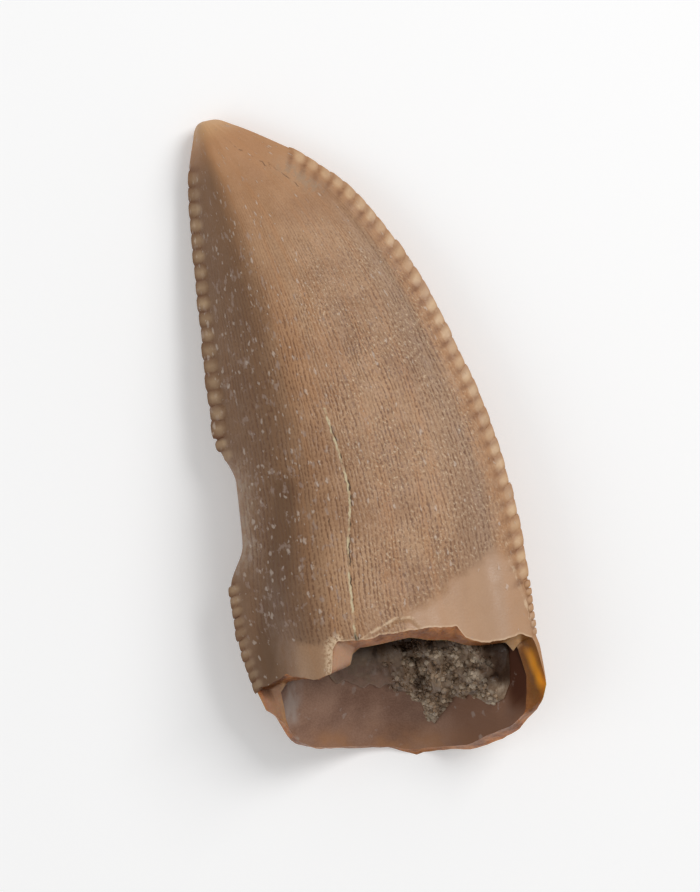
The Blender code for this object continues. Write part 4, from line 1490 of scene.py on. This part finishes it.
            # Pale tops of the denticles, partly a painted highlight.
            bead_tip_and_highlight[where] = np.maximum(bead_tip_and_highlight[where], pale * eased(top, 1.10, 0.35))
            groove_shade[where] = np.maximum(groove_shade[where], groove_shade_amount * gap)
        write_attribute(mesh, "bead_tip_and_highlight", bead_tip_and_highlight)
        write_attribute(mesh, "groove_shade", groove_shade * (1.0 - 0.7 * bead_tip_and_highlight))

    def mark_break(self, mesh: bpy.types.Mesh, points: np.ndarray, t: np.ndarray, u: np.ndarray) -> None:
        """Stores where the broken rim is amber, flaked or deep, where light and shade are painted, and what
        the cavity's wall needs.

        Args:
            mesh: The crown's mesh.
            points: Its points.
            t: Their shares of the crown's length.
            u: Their shares across it.
        """
        x, y, z = points.T
        write_attribute(mesh, "amber", eased(u, 0.90, 0.955) * eased(y, -10.6, -9.2))
        # Painted light: a bright streak along the amber's lit edge; everywhere else the amber keeps its
        # darker tone.
        lit = on_line(x, y, self.amber_light, 0.15) * eased(y, -7.4, -7.8)
        write_attribute(mesh, "amber_unlit", np.clip(1.0 - 1.1 * lit, 0.0, 1.0))
        orange = on_line(x, y, self.orange_line, 0.14)
        wedge = 0.95 * in_patch(x, y, self.wedge, -0.05, 0.05)
        write_attribute(mesh, "wedge", np.maximum(wedge, 0.60 * orange))
        tan = np.maximum(in_patch(x, y, self.point_facet, -0.05, 0.05), on_line(x, y, self.tan_line, 0.06))
        write_attribute(mesh, "tan", 0.8 * tan * (1.0 - orange))
        u_browned = np.maximum(eased(u, 0.55, 0.75), eased(y, -10.4, -11.0) * eased(u, 0.5, 0.9))
        write_attribute(mesh, "browned", u_browned)
        flaked = np.maximum(in_patch(x, y, self.flake, -0.06, 0.06),
                            0.7 * in_patch(x, y, self.left_facet, -0.10, 0.10))
        write_attribute(mesh, "flaked", 0.9 * flaked * (1.0 - orange))
        roof = FORM.outside(t, np.clip(u, 0.0, 1.0), True)[:, 2]
        write_attribute(mesh, "rim_depth", 0.75 * eased(roof - z, 0.20, 0.75) * eased(y, -9.6, -8.8))
        write_attribute(mesh, "thin_edge", eased(y, -10.2, -11.2))
        # Painted shade: deep in the cavity under its roof, and on the cavity's mesial wall.
        write_attribute(mesh, "deep", np.maximum(0.9 * eased(y, -7.8, -6.6),
                                                 0.92 * eased(u, 0.83, 0.89) * eased(y, -10.4, -9.3)))
        write_attribute(mesh, "veiled", in_patch(x, y, self.veil, -0.20, 0.15))


def signed_volume(points: np.ndarray, faces: list) -> float:
    """The volume that faces enclose, less than 0 where they point inwards."""
    total = 0.0
    for size in (3, 4):
        chosen = np.array([face for face in faces if len(face) == size])
        if not len(chosen):
            continue
        for k in range(1, size - 1):
            a, b, c = points[chosen[:, 0]], points[chosen[:, k]], points[chosen[:, k + 1]]
            total += float(np.einsum("ij,ij->", a, np.cross(b, c))) / 6.0
    return total


class CrystalTree:
    """The Geometry Nodes tree that grows small crystals all over a crust."""

    NAME = "crystal_growth"

    def __init__(self) -> None:
        """Builds the tree once."""
        self.group, tree, given, out = new_group(self.NAME, [
            ("Geometry", "Geometry"),
            ("Least Gap", "Float", 0.0001),
            ("Density", "Float", 1.0),
            ("Smallest", "Float", 0.0001),
            ("Largest", "Float", 0.0003),
            ("Seed", "Int", 1),
            ("Material", "Material"),
        ], [("Geometry", "Geometry")], "GeometryNodeTree")
        grows = tree.add("GeometryNodeInputNamedAttribute", {"Name": "grows"}, data_type="FLOAT").outputs[0]
        spread = tree.add("GeometryNodeDistributePointsOnFaces", {
            "Mesh": given["Geometry"], "Distance Min": given["Least Gap"], "Density Max": given["Density"],
            "Density Factor": grows, "Seed": given["Seed"]}, distribute_method="POISSON")
        turn = tree.add("FunctionNodeRandomValue", data_type="FLOAT_VECTOR")
        turn.inputs[1].default_value = (6.28, 6.28, 6.28)
        size = tree.add("FunctionNodeRandomValue", data_type="FLOAT")
        for label, limit in (("Min_001", "Smallest"), ("Max_001", "Largest")):
            tree.feed(identified(size.inputs, label), given[limit])
        whole = identified(size.outputs, "Value_001")
        block = tree.add("GeometryNodeMeshCube", {"Size": (0.84, 0.90, 1.12)}).outputs["Mesh"]
        worn = tree.add("GeometryNodeSubdivisionSurface", {"Mesh": block, "Level": 1, "Edge Crease": 0.45})
        smooth = {"Geometry": worn.outputs[0], "Shade Smooth": True}
        grain = tree.add("GeometryNodeSetShadeSmooth", smooth).outputs[0]
        rhomb = tree.add("GeometryNodeMeshCube", {"Size": (0.60, 0.60, 0.72)}).outputs["Mesh"]
        kinds = tree.add("GeometryNodeGeometryToInstance").outputs[0]
        for shape in (grain, grain, rhomb):
            tree.feed(kinds.node.inputs[0], shape)
        shade = tree.add("FunctionNodeRandomValue", data_type="FLOAT")
        marked = tree.add("GeometryNodeStoreNamedAttribute", {
            "Geometry": spread.outputs["Points"], "Name": "grain"}, data_type="FLOAT", domain="POINT")
        tree.feed(marked.inputs["Value"], identified(shade.outputs, "Value_001"))
        copies = tree.add("GeometryNodeInstanceOnPoints", {
            "Points": marked.outputs[0], "Instance": kinds, "Pick Instance": True, "Scale": whole})
        tree.feed(copies.inputs["Rotation"], turn.outputs[0])
        real = tree.add("GeometryNodeRealizeInstances", {"Geometry": copies.outputs[0]}).outputs[0]
        joined = tree.add("GeometryNodeJoinGeometry")
        for part in (given["Geometry"], real):
            tree.feed(joined.inputs[0], part)
        dressing = {"Geometry": joined.outputs[0], "Material": given["Material"]}
        dressed = tree.add("GeometryNodeSetMaterial", dressing)
        tree.feed(out.inputs["Geometry"], dressed.outputs[0])


@dataclass
class CrystalCrust:
    """The calcite crust on the pulp cavity's floor: a lumpy closed sheet with crystals grown on it."""

    columns: int = 180
    rows: int = 110
    sides: tuple[float, float] = (0.05, 0.95)
    gap: float = 0.03
    edge: float = 0.06
    slope: float = 0.42
    curve: float = 0.10
    end: float = 0.61
    swells: float = 0.22
    lumps: float = 0.52
    density: float = 46.0
    least_gap: float = 0.11
    sizes: tuple[float, float] = (0.08, 0.23)
    front: Points = field(default_factory=lambda: [
        (0.00, -5.60), (0.12, -6.60), (0.18, -8.20), (0.22, -8.75), (0.29, -8.95), (0.37, -9.00),
        (0.43, -9.10), (0.52, -9.35), (0.565, -9.75), (0.595, -10.30), (0.62, -10.45), (0.65, -10.00),
        (0.68, -9.55),
        (0.76, -9.40), (0.84, -9.55), (0.90, -9.45), (0.93, -8.80), (0.95, -7.60), (1.00, -7.00),
    ])

    def lump(self, x: np.ndarray, y: np.ndarray) -> np.ndarray:
        """The height of the crust's rounded lumps seen from above, 0 in the creases to about 1 on top."""
        x, y = x + 0.10 * uneven(x * 3.1, y * 3.1, 45), y + 0.10 * uneven(x * 3.1, y * 3.1, 46)
        large, small = domes(x * 1.7, y * 1.7, 42), domes(x * 3.4, y * 3.4, 43)
        return 0.55 * large + 0.40 * small + 0.18 * domes(x * 7.0, y * 7.0, 48)

    def sheets(self, q: np.ndarray, back: np.ndarray) -> tuple[np.ndarray, np.ndarray]:
        """The crust's underside and its lumpy top.

        Args:
            q: Shares across the cavity.
            back: Shares from its front to its deep end.

        Returns:
            Two (N, 3) arrays of points.
        """
        front_y = line_height(self.front, q) + 0.14 * uneven(q * 30.0, np.zeros_like(q), 41)
        front = FORM.share_at(FORM.inside, q, np.zeros_like(q), front_y)
        t = front + (self.end - front) * back
        floor, roof = FORM.inside(t, q, False), FORM.inside(t, q, True)
        behind = (front - t) * FORM.length
        rise = self.edge + self.slope * behind + self.curve * behind**2
        x, y = floor[:, 0], floor[:, 1]
        stands = self.swells * uneven(x * 1.1, y * 1.1, 44) + self.lumps * (self.lump(x, y) - 0.35)
        rise = rise + stands * eased(behind, 0.0, 0.5) * (0.45 + 0.55 * eased(x, 0.6, 1.8))
        rise = rise * (0.35 + 0.65 * eased(x, -0.2, 1.2)) * (0.12 + 0.88 * eased(q, 0.95, 0.86))
        under, over = floor.copy(), floor.copy()
        under[:, 2] += self.gap
        least = under[:, 2] + 0.4 * self.edge
        ceiling = np.maximum(roof[:, 2] - self.gap - 0.15, least)
        over[:, 2] = np.clip(under[:, 2] + rise, least, ceiling)
        return under, over

    def build(self, effects: SharedEffects) -> bpy.types.Object:
        """Builds the crust, dressed.

        Args:
            effects: The shared node groups.

        Returns:
            The crust's object.
        """
        q = np.linspace(*self.sides, self.columns + 1)
        layers = [self.sheets(q, np.full_like(q, back)) for back in np.linspace(0.0, 1.0, self.rows + 1)]
        wide, each = self.columns + 1, (self.columns + 1) * (self.rows + 1)
        points = np.vstack([np.vstack([layer[side] for layer in layers]) for side in (0, 1)])
        faces = []
        for side in (0, 1):
            for i in range(self.rows):
                for k in range(self.columns):
                    a = side * each + i * wide + k
                    ring = (a, a + 1, a + wide + 1, a + wide)
                    faces.append(ring if side else ring[::-1])
        border = list(range(wide)) + [i * wide + self.columns for i in range(1, self.rows + 1)]
        border += [self.rows * wide + k for k in range(self.columns - 1, -1, -1)]
        border += [i * wide for i in range(self.rows - 1, 0, -1)]
        for a, b in zip(border, border[1:] + border[:1]):
            faces.append((a, b, b + each, a + each))
        if signed_volume(points, faces) < 0.0:
            faces = [face[::-1] for face in faces]
        crust = new_object("calcite_crust", points, faces)
        on_top = np.arange(len(points)) >= each
        reach = eased(points[:, 1], -4.6, -5.6) * eased(points[:, 0], 0.7, 2.0)
        reach = reach * eased(points[:, 0] + 0.3 * eased(points[:, 1], -9.2, -8.6), 5.1, 4.5)
        write_attribute(crust.data, "grows", np.where(on_top, reach, 0.0))
        crust.data.shade_smooth()
        material = CalciteFinish().build(effects)
        run_tree(crust, CrystalTree().group, {
            "Least Gap": self.least_gap * MM,
            "Density": self.density / MM**2,
            "Smallest": self.sizes[0] * MM,
            "Largest": self.sizes[1] * MM,
            "Seed": 5,
            "Material": material,
        })
        x, y, _ = read_points(crust.data).T
        lump = self.lump(x, y)
        # Painted shade: under the cavity's near roof and in the creases between the lumps; the crust is also
        # darker at its right side.
        under_roof = eased(y - np.interp(x, (0.8, 3.2), (-8.25, -7.85)), 0.0, 0.8)
        side = 0.90 * eased(x + 0.25 * uneven(x * 2.5, y * 2.5, 49), 4.05, 4.75) * eased(y, -9.1, -8.7)
        creases = 0.70 * eased(lump, 0.46, 0.16) * (0.4 + 0.6 * eased(x, 0.8, 2.0))
        write_attribute(crust.data, "deep", np.clip(0.95 * under_roof + side + creases, 0.0, 0.95))
        write_attribute(crust.data, "thin", eased(x, 2.0, 0.4) * eased(y, -7.9, -8.6))
        # Painted highlight on the lumps' tops, left out under the roof.
        patches = eased(uneven(x * 0.9, y * 0.9, 47) + 0.25 * (x - 2.0), -0.3, 0.9)
        high = eased(lump, 0.45, 0.85) * (0.25 + 0.75 * patches) * (1.0 - under_roof)
        write_attribute(crust.data, "high", high)
        return crust


@dataclass(frozen=True)
class Studio:
    """The pale floor, the soft lights and the camera that looks straight down on the tooth."""

    seen_height: float = 32.11
    seen_plane: float = 2.0
    centre: tuple[float, float] = (-0.454, -0.360)
    lens: float = 200.0
    sensor: float = 36.0
    floor_size: float = 3000.0

    def floor(self) -> None:
        """Lays the floor."""
        half = 0.5 * self.floor_size
        corners = np.array([(-half, -half, 0.0), (half, -half, 0.0), (half, half, 0.0), (-half, half, 0.0)])
        plane = new_object("floor", corners, [(0, 1, 2, 3)])
        material, _, shader = new_material("pale_paper")
        shader.inputs["Base Color"].default_value = (0.95, 0.95, 0.95, 1.0)
        shader.inputs["Roughness"].default_value = 0.9
        shader.inputs["Emission Color"].default_value = (1.0, 1.0, 1.0, 1.0)
        shader.inputs["Emission Strength"].default_value = 0.14
        plane.data.materials.append(material)

    def light(self, name: str, place: tuple[float, float, float], size: float, power: float) -> None:
        """Hangs one square light that faces the tooth.

        Args:
            name: Its name.
            place: Its place, in millimetres.
            size: Its side, in millimetres.
            power: Its power, in watts.
        """
        lamp = bpy.data.lights.new(name, "AREA")
        lamp.shape, lamp.size, lamp.energy = "SQUARE", size * MM, power
        hung = bpy.data.objects.new(name, lamp)
        hung.location = Vector(place) * MM
        hung.rotation_euler = (-Vector(place)).to_track_quat("-Z", "Y").to_euler()
        bpy.context.scene.collection.objects.link(hung)

    def lights(self) -> None:
        """Sets the lights and the even light of the room."""
        self.light("key", (150.0, 130.0, 190.0), 130.0, 0.40)
        self.light("fill", (-190.0, -60.0, 170.0), 190.0, 0.10)
        world = bpy.data.worlds.new("room")
        world.use_nodes = True
        world.node_tree.nodes["Background"].inputs["Color"].default_value = (1.0, 1.0, 1.0, 1.0)
        world.node_tree.nodes["Background"].inputs["Strength"].default_value = 0.42
        bpy.context.scene.world = world
        bpy.context.scene.view_settings.view_transform = "Standard"

    def camera(self) -> None:
        """Sets the camera above the tooth, far off behind a long lens."""
        lens = bpy.data.cameras.new("camera")
        lens.lens, lens.sensor_width = self.lens, self.sensor
        lens.clip_start, lens.clip_end = 0.01, 10.0
        away = self.seen_height * self.lens / self.sensor + self.seen_plane
        held = bpy.data.objects.new("camera", lens)
        held.location = Vector((*self.centre, away)) * MM
        bpy.context.scene.collection.objects.link(held)
        bpy.context.scene.camera = held

    def build(self) -> None:
        """Sets up the whole studio."""
        self.floor()
        self.lights()
        self.camera()


def main() -> None:
    """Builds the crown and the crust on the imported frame, then the studio."""
    logging.basicConfig(level=logging.INFO, format="%(name)s: %(message)s")
    effects = SharedEffects()
    for piece, node, slot in (
        (Crown().build(effects), "tooth_crown", "enamel"),
        (CrystalCrust().build(effects), "crystal_crust", "calcite"),
    ):
        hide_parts(node)
        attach(piece, "root")
        triangles = sum(len(p.vertices) - 2 for p in piece.data.polygons)
        LOG.info("%s stands for %s: %d triangles", piece.name, node, triangles)
    Studio().build()


if __name__ == "__main__":
    main()
